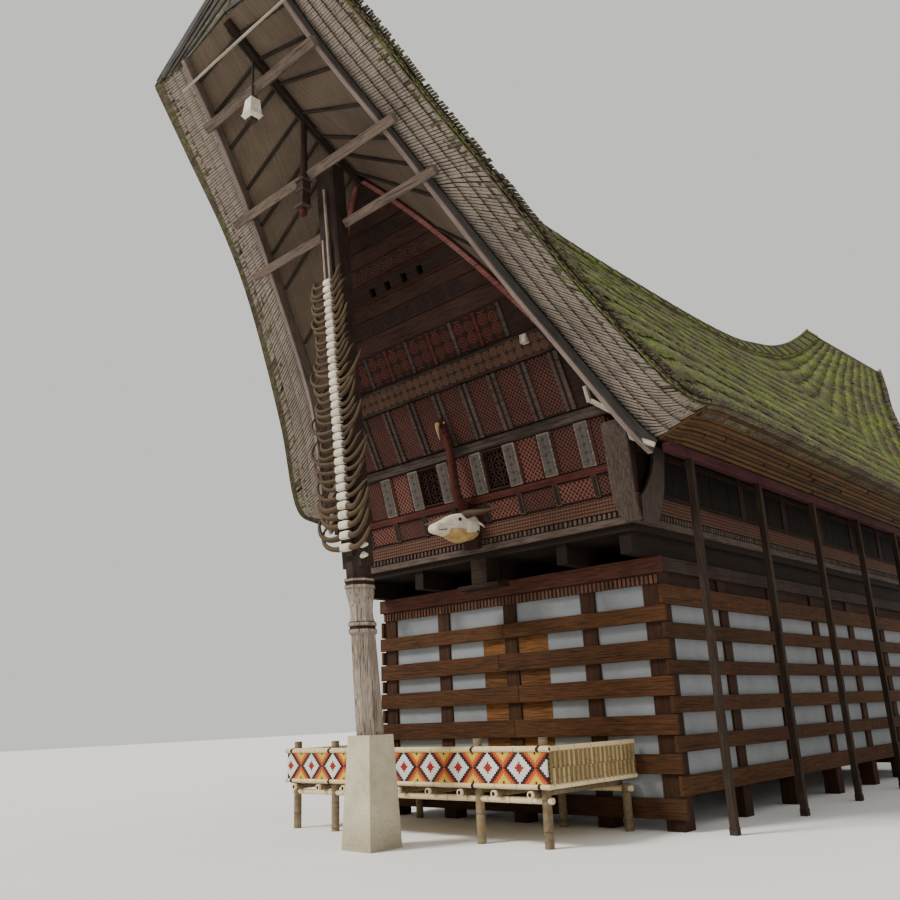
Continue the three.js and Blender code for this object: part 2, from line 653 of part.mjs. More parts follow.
function platformFrame() {
  const shapes = [];
  const girder = JOIST_TOP - 1.4 * POLE;
  for (const [y, top] of [[FRONT_POST_ROW, 1290], [BACK_POST_ROW, 620]]) {
    for (const x of PLATFORM_POSTS) {
      shapes.push(pole([x, y, 0], [x, y, top], PLATFORM_POST_RADIUS, 62));
    }
    shapes.push(pole([PLATFORM_X[0] + 20, y, girder], [PLATFORM_X[1] - 20, y, girder], POLE / 2));
  }
  const joists = 9;
  const z = JOIST_TOP - POLE / 2;
  for (let k = 0; k < joists; k += 1) {
    const x = PLATFORM_X[0] + 240 + k * (PLATFORM_X[1] - PLATFORM_X[0] - 480) / (joists - 1);
    shapes.push(pole([x, PLATFORM_Y[0] - 70, z], [x, PLATFORM_Y[1] - 20, z], POLE / 2));
  }
  return join(shapes);
}

function platformDeck() {
  const deck = block([PLATFORM_X[0] + GUARD_INSET, PLATFORM_X[1] - GUARD_INSET],
    [PLATFORM_Y[0] + GUARD_INSET, PLATFORM_Y[1]], [JOIST_TOP + GAP, PLATFORM_DECK]);
  const room = PLATFORM_POST_RADIUS + 2;
  return PLATFORM_POSTS.reduce((rest, x) => rest.subtract(block([x - room, x + room],
    [FRONT_POST_ROW - room - 50, FRONT_POST_ROW + room], [600, 800])), deck);
}

const GUARD_RAILS = [JOIST_TOP + POLE / 2 + GAP, PLATFORM_TOP];

function frontGuard() {
  const y = PLATFORM_Y[0];
  const panel = block([PLATFORM_X[0], PLATFORM_X[1]], [y - 8, y + 22], GUARD_RAILS);
  const ends = PLATFORM_X.map((x) => x + Math.sign(x) * 50);
  const rails = GUARD_RAILS.map((z) => pole([ends[0], y, z], [ends[1], y, z], POLE / 2));
  return join([panel, ...rails]);
}

function sideGuard(sign) {
  const x = sign > 0 ? PLATFORM_X[1] : PLATFORM_X[0];
  const span = [PLATFORM_Y[0] + GUARD_INSET, PLATFORM_Y[1]];
  const panel = block([x - 15, x + 15], span, GUARD_RAILS);
  const rails = GUARD_RAILS.map((z) => pole([x, span[0], z], [x, span[1], z], POLE / 2));
  return join([panel, ...rails]);
}

// Eave posts and the beam that they carry under the lower edge of the roof.
function eaveFrame() {
  const half = EAVE_POST / 2;
  const shapes = [block([EAVE_BEAM_X - 60, EAVE_BEAM_X + 60], [-6240, 6240], [EAVE_BEAM_Z, 5300])];
  for (const y of EAVE_POSTS) {
    shapes.push(block([EAVE_BEAM_X - half, EAVE_BEAM_X + half], [y - half, y + half], [0, EAVE_BEAM_Z + 5]));
  }
  return join(shapes).subtract(aboveCeiling);
}

const WOOD = '#5a3a24';
const DARK_WOOD = '#3a2620';
const RED_WOOD = '#6b2a24';
const GREY_WOOD = '#8f8474';
const PANEL_GREY = '#8b9094';
const BAMBOO = '#d8c79a';
const THATCH = '#7d7466';

for (const [end, group] of Object.entries(ends)) {
  const isFront = end === 'front';
  piece(group, `${end}_pillar`, pillar(), '#c0b79d', 0.95);
  piece(group, `${end}_post`, gablePost(), GREY_WOOD);
  piece(group, `${end}_lower_frame`, lowerEnd(), WOOD);
  piece(group, `${end}_infill`, infillEnd(), PANEL_GREY);
  piece(group, `${end}_wall`, endWall(isFront ? WINDOWS : []), DARK_WOOD);
  piece(group, `${end}_upper_rail`, upperRail(), GREY_WOOD);
  piece(group, `${end}_gable`, gable(isFront), DARK_WOOD);
  piece(group, `${end}_gable_frame`, gableFrame(), RED_WOOD);
  piece(group, `${end}_verge_frame`, vergeFrame(), GREY_WOOD);
  if (isFront) {
    piece(group, 'front_lower_rail', lowerRail(), RED_WOOD);
    piece(group, 'horn_stack', hornStack(), '#8d7d5e');
    piece(group, 'left_corner_board', cornerBoard(-1), WOOD);
    piece(group, 'right_corner_board', cornerBoard(1), WOOD);
    piece(group, 'long_necked_bird', bird(), RED_WOOD);
    piece(group, 'buffalo_head', buffaloHead(), '#e8e2d2');
    piece(group, 'centre_bracket', centreBracket(), DARK_WOOD);
  }
}

for (const [side, group] of Object.entries(sides)) {
  piece(group, `${side}_lower_frame`, lowerSide(), WOOD);
  piece(group, `${side}_infill`, infillSide(), PANEL_GREY);
  piece(group, `${side}_wall`, sideWall(), DARK_WOOD);
  piece(group, `${side}_roof`, roofShape, THATCH, 0.95);
  piece(group, `${side}_eave_frame`, eaveFrame(), RED_WOOD);
}

piece(sides.right, 'right_side_corner_board', sideCornerBoard(), WOOD);
piece(house, 'floor', floor(), WOOD);
piece(house, 'sill_ring', sillRing(), DARK_WOOD);
piece(house, 'ridge_cap', ridgeCap(), THATCH, 0.95);
piece(house, 'platform_frame', platformFrame(), BAMBOO);
piece(house, 'platform_deck', platformDeck(), BAMBOO);
piece(house, 'platform_front_guard', frontGuard(), '#c03a2a');
piece(house, 'platform_right_guard', sideGuard(1), '#9c8a5e');
piece(house, 'platform_left_guard', sideGuard(-1), '#9c8a5e');

export default house;
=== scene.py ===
import math
import bpy
import numpy as np
from mathutils import Matrix, Vector


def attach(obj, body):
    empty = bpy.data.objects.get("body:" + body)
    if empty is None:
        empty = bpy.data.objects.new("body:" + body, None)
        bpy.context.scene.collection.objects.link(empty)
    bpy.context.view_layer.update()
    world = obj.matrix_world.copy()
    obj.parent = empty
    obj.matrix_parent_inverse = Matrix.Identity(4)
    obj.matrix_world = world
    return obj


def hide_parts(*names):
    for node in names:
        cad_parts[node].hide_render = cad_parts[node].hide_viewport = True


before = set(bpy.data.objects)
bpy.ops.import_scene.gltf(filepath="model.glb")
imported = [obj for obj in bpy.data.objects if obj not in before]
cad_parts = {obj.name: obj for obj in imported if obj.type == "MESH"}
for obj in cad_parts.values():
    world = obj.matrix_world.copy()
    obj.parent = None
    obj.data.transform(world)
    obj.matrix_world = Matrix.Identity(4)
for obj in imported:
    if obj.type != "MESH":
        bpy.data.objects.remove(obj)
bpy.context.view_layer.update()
rng = np.random.default_rng(11)
M = {}  # every material by its name


# ---- shader helpers -------------------------------------------------------------------
class S:
    """A shader value. Arithmetic on it adds Math nodes."""

    def __init__(self, tree, out):
        self.tree, self.out = tree, out

    def op(self, kind, *others, clamp=False):
        return self.tree.node("Math", (self,) + others, operation=kind, use_clamp=clamp)

    def __rsub__(self, b):
        return self * -1.0 + b

    def over(self, edge, soft=0.02):
        """0 below edge, 1 above it, with a soft step."""
        return ((self - (edge - soft)) * (0.5 / soft)).op("ADD", 0.0, clamp=True)

    def under(self, edge, soft=0.02):
        return 1.0 - self.over(edge, soft)


for method, kind in (("__add__", "ADD"), ("__radd__", "ADD"), ("__mul__", "MULTIPLY"), ("__rmul__", "MULTIPLY"),
                     ("__sub__", "SUBTRACT"), ("__truediv__", "DIVIDE"), ("fract", "FRACT"), ("floor", "FLOOR"),
                     ("abs", "ABSOLUTE"), ("sin", "SINE"), ("min", "MINIMUM"), ("max", "MAXIMUM"), ("pow", "POWER")):
    setattr(S, method, lambda self, *others, kind=kind: self.op(kind, *others))


class Tree:
    """The nodes of one material. Its colour takes one coat after another."""

    def __init__(self, name):
        self.mat = M[name] = bpy.data.materials.new(name)
        self.mat.use_nodes = True
        self.shader = next(n for n in self.mat.node_tree.nodes if n.type == "BSDF_PRINCIPLED")
        self.put(0.2, self.shader.inputs["Specular IOR Level"])
        self.place = self.node("TexCoord", out="Object")
        self.pat = self.node("Attribute", out="Vector", attribute_name="pat")
        self.tint = self.node("Attribute", out="Fac", attribute_name="tint")

    def put(self, value, socket):
        """Sets a socket to a shader value, a colour such as '7c2f22' or plain numbers."""
        if isinstance(value, S):
            self.mat.node_tree.links.new(value.out, socket)
        elif isinstance(value, str):
            c = [int(value[i:i + 2], 16) / 255 for i in (0, 2, 4)]
            socket.default_value = [x / 12.92 if x < 0.04045 else ((x + 0.055) / 1.055) ** 2.4 for x in c] + [1.0]
        else:
            socket.default_value = value

    def node(self, kind, inputs=(), out=0, **settings):
        n = self.mat.node_tree.nodes.new("ShaderNode" + kind)
        for key, value in settings.items():
            setattr(n, key, value)
        for key, value in inputs.items() if isinstance(inputs, dict) else enumerate(inputs):
            self.put(value, n.inputs[key])
        return S(self, n.outputs[out])

    def xyz(self, v):
        return [S(self, out) for out in self.node("SeparateXYZ", (v,)).out.node.outputs]

    def vec(self, x, y, z):
        return self.node("CombineXYZ", (x, y, z))

    def noise(self, v, scale=1.0, detail=4.0, rough=0.6, distort=0.0, stretch=None):
        if stretch:
            v = self.node("VectorMath", (v, stretch), operation="MULTIPLY")
        return self.node("TexNoise", {"Vector": v, "Scale": scale, "Detail": detail, "Roughness": rough,
                                      "Distortion": distort}, "Fac")

    def mix(self, fac, a, b, kind="MIX"):
        return self.node("Mix", {0: fac, 6: a, 7: b}, 2, data_type="RGBA", blend_type=kind, clamp_factor=True)

    def coat(self, mask, colour, kind="MIX"):
        self.colour = self.mix(mask, self.colour, colour, kind)

    def shade(self, tone):
        self.coat(1.0, self.vec(tone, tone, tone), "MULTIPLY")

    def finish(self, rough, height=None, depth=0.01):
        self.put(self.colour, self.shader.inputs["Base Color"])
        self.put(rough, self.shader.inputs["Roughness"])
        if height:
            self.put(self.node("Bump", {"Distance": depth, "Height": height}), self.shader.inputs["Normal"])


def wood(name, dark, light, worn, worn_colour="8f887c", depth=0.004, streak=16.0, along=None):
    """Timber whose grain runs along the first pattern coordinate, or along a named axis."""
    t = Tree(name)
    p = t.pat
    if along:
        xyz, first = t.xyz(t.place), "xyz".index(along)
        p = t.vec(xyz[first], xyz[(first + 1) % 3], xyz[(first + 2) % 3])
    fibre = t.noise(p, 3.0, 6, 0.65, 0.4, (1.3, streak, streak))
    fine = t.noise(p, 1.0, 3, stretch=(6.0, 130.0, 130.0))
    broad = t.noise(t.place, 1.1)
    crack = t.noise(p, 1.0, 2, 0.5, stretch=(0.9, 60.0, 60.0)).under(0.36, 0.03)
    t.colour = t.mix(fibre.over(0.52, 0.2), dark, light)
    t.shade(0.72 + (0.25 if along else t.tint * 0.5) + broad * 0.3)
    t.coat((broad.over(0.56, 0.12) * fine.over(0.45, 0.15)) * worn, worn_colour)
    t.coat(crack * 0.6, "150e0a")
    t.finish(0.78 + fine * 0.14, fibre * 0.6 + fine * 0.5 - crack * 1.2, depth)


def carved(name, kind, ground, line, accent, size, ground2):
    """A painted carving: its pattern is cut from the panel's own coordinates in metres."""
    t = Tree(name)
    x, y, _ = t.xyz(t.pat)
    u, v = x / size, y / size
    a, b = u.fract() - 0.5, v.fract() - 0.5
    other = ((u.floor() + v.floor()) * 0.5).fract().over(0.25)
    if kind == "net":
        a, b = (u + v).fract(), (u - v).fract()
        lines = a.min(1.0 - a).min(b.min(1.0 - b)).under(0.11, 0.03)
        spots = (a - 0.5).abs().max((b - 0.5).abs()).under(0.16, 0.03)
        other = ((u + v).floor() * 0.5).fract().over(0.25)
    elif kind in ("scroll", "sun"):
        r = (a * a + b * b).pow(0.5)
        turn = b.op("ARCTAN2", a)
        flip = other * 2.0 - 1.0
        if kind == "scroll":
            lines = (turn * flip + r * 30.0).sin().over(0.25, 0.25) * r.under(0.47, 0.02)
            spots = r.over(0.56, 0.03)
        else:
            rings = (r * 46.0).sin().over(0.2, 0.2) * r.under(0.3, 0.01)
            rays = (turn * 8.0).sin().abs().under(0.5, 0.1) * r.over(0.33, 0.01) * r.under(0.48, 0.01)
            lines, spots = rings.max(rays), r.over(0.6, 0.03)
        other = flip * 0.5 + 0.5
    elif kind == "dots":
        spots = a.abs().max(b.abs()).under(0.28, 0.05)
        lines = b.abs().over(0.44, 0.03)
        other = (u.floor() * 0.5).fract().over(0.25)
    else:
        step = a.abs() + b.abs()
        lines, spots = (step * 18.0).sin().over(0.3, 0.3), step.under(0.1, 0.03)
    fade, grit = t.noise(t.place, 2.3, 5, 0.65), t.noise(t.place, 38.0, 3)
    grain = t.noise(t.pat, 1.0, 3, stretch=(14.0, 14.0, 90.0))
    t.colour = t.mix(other, ground, ground2)
    t.coat(lines * (0.5 + fade * 0.45), line)
    t.coat(spots * 0.85, accent)
    t.shade(0.5 + fade * 0.42 + grain * 0.35)
    t.coat(grit.over(0.62, 0.08) * 0.35, "2a1c17")
    t.finish(0.7 + grit * 0.2, lines * -1.0 - spots * 0.6 + grain * 0.3, 0.006)


def bamboo(name, dark, light, bleach, moss=0.0, node=0.42, rough=0.7):
    """Bamboo: fibres along the first pattern coordinate, with a ring every `node` metres."""
    t = Tree(name)
    x, _, _ = t.xyz(t.pat)
    fibre = t.noise(t.pat, stretch=(3.0, 90.0, 90.0))
    knot = ((x / node + t.tint * 7.0).fract() - 0.5).abs().under(0.02, 0.008)
    blotch, small = t.noise(t.place, 1.6, 6, 0.7), t.noise(t.place, 17.0, 4, 0.65)
    t.colour = t.mix(t.tint * 0.55 + fibre * 0.45, dark, light)
    t.coat(small.over(0.55, 0.12) * bleach, "a8a198")
    t.coat(blotch.under(0.42, 0.12) * 0.55, dark)
    t.coat(knot * 0.55, "33291f")
    if moss:
        t.coat((blotch * 0.7 + small * 0.5).over(0.66, 0.09) * moss, t.mix(small, "3d551b", "86a034"))
    t.finish(rough + small * 0.2, fibre * 0.6 + knot * 0.8 + small * 0.4, 0.003)


def matting(name, dark, light, strip):
    """Plaited strips, over and under, in the panel's own coordinates."""
    t = Tree(name)
    x, y, _ = t.xyz(t.pat)
    u, v = x / strip, y / strip
    odd = ((u.floor() + v.floor()) * 0.5).fract().over(0.25)
    height = odd * (u.fract() * math.pi).sin() + (1.0 - odd) * (v.fract() * math.pi).sin()
    tone = t.noise(t.vec(u.floor() * odd, v.floor() * (1.0 - odd), odd * 7.0), 3.7, 0, 0.5)
    fine = t.noise(t.place, 60.0, 3)
    t.colour = t.mix(tone * 0.7 + fine * 0.3, dark, light)
    # painted shade in the creases where each strip dips down under its neighbour
    t.coat(height.under(0.35, 0.2) * 0.6, "2b2118")
    t.coat(t.noise(t.place, 1.7, 6, 0.7).over(0.52, 0.12) * 0.4, dark)
    t.finish(0.75 + fine * 0.15, height + fine * 0.2, 0.004)


def reeds(name, dark, light, pitch):
    """Reeds laid side by side along the first pattern coordinate, in mats, with painted shade in the grooves between
    reeds.
    """
    t = Tree(name)
    x, y, _ = t.xyz(t.pat)
    row = (y / pitch).floor()
    tone = t.noise(t.vec(row * 1.7, (x / 0.72).floor() * 3.1, 0.0), 1.3, 0, 0.5)
    bow = ((y / pitch).fract() * math.pi).sin()
    fibre = t.noise(t.pat, stretch=(2.0, 70.0, 1.0))
    t.colour = t.mix(tone * 0.5 + fibre * 0.5, dark, light)
    # painted shade in the grooves between reeds
    t.coat(bow.under(0.4, 0.2) * 0.55, "231b14")
    t.coat(t.noise(t.place, 1.5, 6, 0.7).over(0.5, 0.15) * 0.4, "3a2f24")
    t.finish(0.8, bow + fibre * 0.3, 0.004)


def band_pattern(name, cell, period, phase):
    """A plaited strip with stepped diamonds in white, black, red and orange."""
    t = Tree(name)
    x, y, _ = t.xyz(t.pat)
    shifted = ((x / period + phase).fract() - 0.5) * period
    steps = (shifted / cell).op("ROUND").abs() + (y / cell).op("ROUND").abs()
    red, black = "9c2622", "1a1213"
    t.colour = t.mix(steps.over(9.6, 0.1), red, "cc6424")
    t.coat(steps.over(11.4, 0.1), "e3bc48")
    t.coat(steps.over(14.5, 0.1), black)
    for edge, colour in ((8.4, black), (6.4, "eeeae0"), (2.4, red)):
        t.coat(steps.under(edge, 0.1), colour)
    weave = ((x / cell * 2.0).fract() * math.pi).sin() * ((y / cell * 2.0).fract() * math.pi).sin()
    fine = t.noise(t.place, 70.0, 3)
    # painted shade in the hollows of the weave
    t.coat(weave.under(0.18, 0.12) * 0.5, "241812")
    t.coat(t.noise(t.place, 3.0, 5, 0.7).over(0.55, 0.15) * 0.28, "6b5a45")
    t.finish(0.62 + fine * 0.2, weave + fine * 0.15, 0.003)


def plaster(name):
    t = Tree(name)
    z = t.xyz(t.place)[2]
    blotch, fine = t.noise(t.place, 2.4, 7, 0.68), t.noise(t.place, 34.0, 5, 0.7)
    t.colour = t.mix(blotch.over(0.5, 0.25), "a39a83", "d6ccb2")
    t.coat((fine * 0.6 + blotch * 0.5).over(0.66, 0.06) * 0.55, "5f5a4a")
    t.coat(z.under(0.28, 0.2) * blotch.over(0.42, 0.15) * 0.5, "6d6850")
    t.finish(0.86 + fine * 0.1, fine * 0.7 + blotch, 0.012)


def horn_skin(name):
    t = Tree(name)
    x, _, _ = t.xyz(t.pat)
    ridges = ((x * 210.0) + t.noise(t.place, 20.0) * 4.0).sin()
    streak = t.noise(t.pat, stretch=(5.0, 40.0, 40.0))
    t.colour = t.mix(streak * 0.7 + t.tint * 0.3, "241a12", "655037")
    t.coat(x.over(0.75, 0.2) * 0.5, "241d16")
    # painted shade in the grooves between the horn's ridges
    t.coat(ridges.under(-0.4, 0.3) * 0.3, "30281c")
    t.finish(0.52 + streak * 0.25, ridges * 0.35 + streak, 0.004)


def bone(name, dirty, dark="b9ac93", light="e6e0d2"):
    t = Tree(name)
    fine, blotch = t.noise(t.place, 44.0, 4, 0.7), t.noise(t.place, 7.0, 5, 0.65)
    t.colour = t.mix(blotch.over(0.5, 0.2), dark, light)
    t.coat(fine.over(0.6, 0.08) * dirty, "5d5142")
    t.finish(0.6 + fine * 0.2, fine + blotch, 0.006)


def panel_paint(name):
    """Faded blue-grey paint on thin boards."""
    t = Tree(name)
    grain = t.noise(t.pat, stretch=(2.0, 40.0, 40.0))
    blotch = t.noise(t.place, 2.1, 6, 0.7)
    t.colour = t.mix(blotch.over(0.5, 0.3), "75797b", "8b8f91")
    t.shade(0.78 + grain * 0.16 + t.tint * 0.14)
    t.coat((grain * 0.5 + blotch * 0.6).over(0.68, 0.06) * 0.35, "5c5046")
    t.finish(0.7, grain, 0.002)


def floor_surface(name):
    t = Tree(name)
    t.colour = t.mix(t.noise(t.place, 0.35, 3), (0.80, 0.79, 0.76, 1.0), (0.86, 0.85, 0.83, 1.0))
    t.finish(0.9)


# name, dark, light, how worn, worn colour, then depth, streak and axis where they differ
for row in (
        ("grey_wood", "3b352e", "756c62", 0.45, "968d83"), ("verge_board", "3b312b", "6d5f54", 0.45, "8d7e71"),
        ("verge_side", "2c2a29", "55514e", 0.4, "6e6a66"), ("verge_edge", "5a4d48", "8b7a73", 0.5, "9f948a"),
        ("brown_wood", "251509", "523218", 0.15, "634c35"), ("door_wood", "38220f", "774d26", 0.15, "80684b"),
        ("brown_post", "1f110a", "422816", 0.2, "55402f"), ("dark_wood", "190e0a", "3a2219", 0.2, "534237"),
        ("red_wood", "28110d", "4c221a", 0.25, "5f4035"), ("pink_wood", "532824", "84504a", 0.45, "9c837b"),
        ("post_wood", "4c4137", "a19384", 0.5, "b7ab9d", 0.012, 22.0), ("trunk", "17100d", "35251f", 0.3, "574c44"),
        ("eave_red", "2a0f12", "532127", 0.3, "604743"), ("bare_wood", "756a5c", "b3a797", 0.4, "cfc8bc"),
        ("rafter", "1b1612", "3b322a", 0.2, "4a433c"), ("beak", "80663f", "bb9e6c", 0.1),
        ("sill_wood", "2a211c", "584b42", 0.3, "75695f"), ("strip_wood", "251c18", "4d413a", 0.3, "645850"),
        ("comb", "3a2419", "6d4a3a", 0.25, "7d6455"), ("lintel", "2a1610", "563124", 0.25, "654a3d"),
        # wall_side_painted_shade: dark boards, darkened further to near black as painted shade under the eave
        ("wall_side_painted_shade", "080504", "190f0a", 0.1, "2a211b"), ("eave_post", "1a130e", "3d2d22", 0.3, "574b3f"),
        ("dark_flat", "160d09", "301e16", 0.15, "42352c", 0.004, 16.0, "x"),
        ("corner_wood", "2c231e", "4f443c", 0.4, "6a6058", 0.004, 16.0, "z"),
        ("brown_flat", "0f0906", "24170f", 0.12, "33281f", 0.004, 16.0, "y")):
    wood(*row)
# name, dark, light, bleach, moss, distance of the rings, roughness
for row in (
        ("roof_bamboo", "685d52", "a6998c", 0.35), ("roof_edge", "342c24", "70634f", 0.25, 0.3),
        # soffit_bamboo_painted_shade: weathered brown bamboo, darkened further as painted shade under the eave
        ("roof_top", "3f3a28", "6f684c", 0.15, 0.95, 0.5), ("soffit_bamboo_painted_shade", "211507", "614321", 0.05, 0, 0.9),
        ("pale_bamboo", "c4aa76", "f3e4bd", 0.1, 0, 0.36, 0.42),
        ("guard_bamboo", "8d7548", "cdb586", 0.12, 0, 0.23, 0.5),
        ("old_bamboo", "54452f", "8b7857", 0.3, 0, 0.36, 0.6)):
    bamboo(*row)
# name, motif, ground, line, accent, size of one motif in metres, second ground
for row in (
        ("net", "net", "551911", "846658", "2b0d09", 0.078, "44140d"),
        ("net_dark", "net", "3f140f", "66493e", "1f0b08", 0.07, "320f0b"),
        ("scroll", "scroll", "2a120e", "643626", "120b09", 0.20, "33130d"),
        ("beam_scroll", "scroll", "35211a", "6c4e3b", "1c100b", 0.15, "3a271b"),
        ("scroll_grey", "scroll", "4a443f", "6d655e", "332e2a", 0.12, "4e4843"),
        ("sun", "sun", "2e1315", "6f4c3c", "120b0a", 0.28, "26100f"),
        ("cross", "cross", "2e1410", "55372b", "0f0807", 0.17, "220f0c"),
        ("dots", "dots", "432a20", "1a100c", "6e4c3c", 0.052, "49301f"),
        ("faint", "cross", "1f1512", "33221c", "120c0a", 0.12, "261914")):
    carved(*row)
for row in (("bone", 0.5), ("skull", 0.25), ("jaw", 0.35, "94723f", "c7ab7a")):
    bone(*row)
reeds("soffit", "44382f", "80705f", 0.034)
matting("mat", "6c5a37", "a8956a", 0.028)
band_pattern("band", 0.0287, 0.517, 0.34)
plaster("plaster")
horn_skin("horn")
panel_paint("panel")
floor_surface("floor")


# ---- mesh helpers ---------------------------------------------------------------------
def unit(v):
    v = np.asarray(v, float)
    return v / np.linalg.norm(v, axis=-1, keepdims=True)


def lerp(a, b, s):
    return a + (b - a) * s


def run_of(points):
    """How far along a line each of its points lies."""
    return np.concatenate([[0], np.cumsum(np.linalg.norm(np.diff(points, axis=0), axis=1))])


def loft(count, sides):
    """Faces between neighbouring rings of `sides` points each."""
    return [(i * sides + j, i * sides + (j + 1) % sides, (i + 1) * sides + (j + 1) % sides, (i + 1) * sides + j)
            for i in range(count - 1) for j in range(sides)]


def disc(start, sides, down=False):
    face = tuple(range(start, start + sides))
    return face[::-1] if down else face


BOX = [(0, 3, 2, 1), (4, 5, 6, 7)] + loft(2, 4)
CORNERS = np.array([(-1, -1, -1), (1, -1, -1), (1, 1, -1), (-1, 1, -1), (-1, -1, 1), (1, -1, 1), (1, 1, 1),
                    (-1, 1, 1)], float) / 2


class Pile:
    """Many small shapes gathered into one mesh, each with a tint and its own pattern coordinates."""

    def __init__(self, *materials):
        self.materials = materials
        self.verts, self.faces, self.mats, self.tints, self.pats, self.smooth = [], [], [], [], [], []
        self.count = 0

    def add(self, verts, faces, mat=0, tint=None, pat=None, smooth=False):
        verts = np.asarray(verts, float)
        self.verts.append(verts)
        self.pats.append(verts if pat is None else np.asarray(pat, float))
        self.tints.append(np.full(len(verts), rng.random() if tint is None else tint))
        self.faces.extend([tuple(i + self.count for i in f) for f in faces])
        self.mats.extend([mat] * len(faces))
        self.smooth.extend([smooth] * len(faces))
        self.count += len(verts)

    def many(self, verts, faces, mat, pat, tints):
        """verts is (n, k, 3): n copies of one shape of k points."""
        n, k, _ = verts.shape
        start = self.count + np.arange(n)[:, None] * k
        self.verts.append(verts.reshape(-1, 3))
        self.pats.append(pat.reshape(-1, 3))
        self.tints.append(np.repeat(rng.random(n) if tints is None else tints, k))
        for f in faces:
            self.faces.extend(map(tuple, (start + np.array(f)[None, :]).tolist()))
        self.mats.extend([mat] * (n * len(faces)))
        self.smooth.extend([True] * (n * len(faces)))
        self.count += n * k

    def box(self, centre, size, axes=np.eye(3), mat=0, tint=None):
        size = np.asarray(size, float)
        local = CORNERS * size
        self.add(np.asarray(centre) + local @ np.asarray(axes), BOX, mat, tint,
                 local[:, np.argsort(-size)] + rng.random(3) * 9)

    def span(self, x, y, z, mat=0, tint=None):
        """An upright box between the two ends given for each axis."""
        lo, hi = np.sort(np.array([x, y, z], float), axis=1).T
        self.box((lo + hi) / 2, hi - lo, mat=mat, tint=tint)

    def beam(self, a, b, width, depth, side, mat=0, tint=None):
        """A timber from a to b; width is measured along `side`."""
        a, b = np.asarray(a, float), np.asarray(b, float)
        ex = unit(b - a)
        ez = unit(np.cross(ex, side))
        self.box((a + b) / 2, (np.linalg.norm(b - a), width, depth), [ex, np.cross(ez, ex), ez], mat, tint)

    def slab(self, outline, origin, ex, ey, thick, mat=0, tint=None, plain=True, centre=(0, 0)):
        """A flat plate with a convex or simple outline, standing `thick` along ex × ey."""
        ex, ey = unit(ex), unit(ey)
        pts = np.asarray(outline, float)
        base = np.asarray(origin) + pts[:, :1] * ex + pts[:, 1:] * ey
        k = len(pts)
        pat = np.column_stack([pts - np.asarray(centre), np.zeros(k)])
        pat = np.vstack([pat, pat + (0, 0, 0.01)])
        self.add(np.vstack([base, base + np.cross(ex, ey) * thick]), [disc(0, k, True), disc(k, k)] + loft(2, k), mat,
                 tint, pat if plain else pat + rng.random(3) * 9)

    def tube(self, points, radii, sides=8, mat=0, tint=None, caps=True, flatten=1.0):
        """A round bar along points, tapering with radii."""
        p = np.asarray(points, float)
        r = np.broadcast_to(np.asarray(radii, float), (len(p),))
        tangent = unit(np.gradient(p, axis=0))
        ref = np.array([0.0, 0.0, 1.0]) if abs(tangent[0][2]) < 0.9 else np.array([1.0, 0.0, 0.0])
        a = np.arange(sides) * 2 * math.pi / sides
        rings = []
        for centre, radius, tan in zip(p, r, tangent):
            side = unit(np.cross(tan, ref))
            ref = np.cross(side, tan)
            rings.append(centre + radius * (np.cos(a)[:, None] * side + flatten * np.sin(a)[:, None] * ref))
        turn = np.tile(np.arange(sides) / sides, len(p)) * 6.283
        pat = np.column_stack([np.repeat(run_of(p), sides), np.cos(turn) * r[0], np.sin(turn) * r[0]])
        self.add(np.vstack(rings), loft(len(p), sides), mat, tint, pat, True)
        if caps:
            for ring, down in ((rings[0], True), (rings[-1], False)):
                self.add(ring, [disc(0, sides, down)], mat, tint, ring)

    def make(self, name, replaces=(), bevel=0.0, slot=None):
        mesh = bpy.data.meshes.new(name)
        mesh.from_pydata(np.concatenate(self.verts).tolist(), [], self.faces)
        for m in self.materials:
            mesh.materials.append(M[m])
        mesh.polygons.foreach_set("material_index", self.mats)
        mesh.polygons.foreach_set("use_smooth", self.smooth)
        mesh.attributes.new("tint", "FLOAT", "POINT").data.foreach_set("value", np.concatenate(self.tints))
        pats = np.concatenate(self.pats).ravel()
        mesh.attributes.new("pat", "FLOAT_VECTOR", "POINT").data.foreach_set("vector", pats)
        mesh.update()
        show(mesh, name, replaces, bevel, False)
        return mesh


def ease(obj, width, segments, angle):
    """Bevels the sharp edges."""
    if width:
        m = obj.modifiers.new("edges", "BEVEL")
        m.width, m.segments, m.limit_method, m.angle_limit = width, segments, "ANGLE", math.radians(angle)


def show(mesh, name, replaces=(), bevel=0.0, turned=False):
    obj = bpy.data.objects.new(name, mesh)
    bpy.context.scene.collection.objects.link(obj)
    if turned:
        obj.matrix_world = Matrix.Rotation(math.pi, 4, "Z")
    ease(obj, bevel, 1, 40)
    if replaces:
        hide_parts(*replaces)
    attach(obj, "root")


ENDS, SIDES = ("front_", "rear_"), ("right_", "left_")


def both(where, pile, name, replaces=(), bevel=0.0, slot=None):
    """The pieces of the first end or side, and the same turned to the other one."""
    first, other = ([w + r for r in replaces] for w in where)
    show(pile.make(where[0] + name, first, bevel, slot), where[1] + name, other, bevel, True)


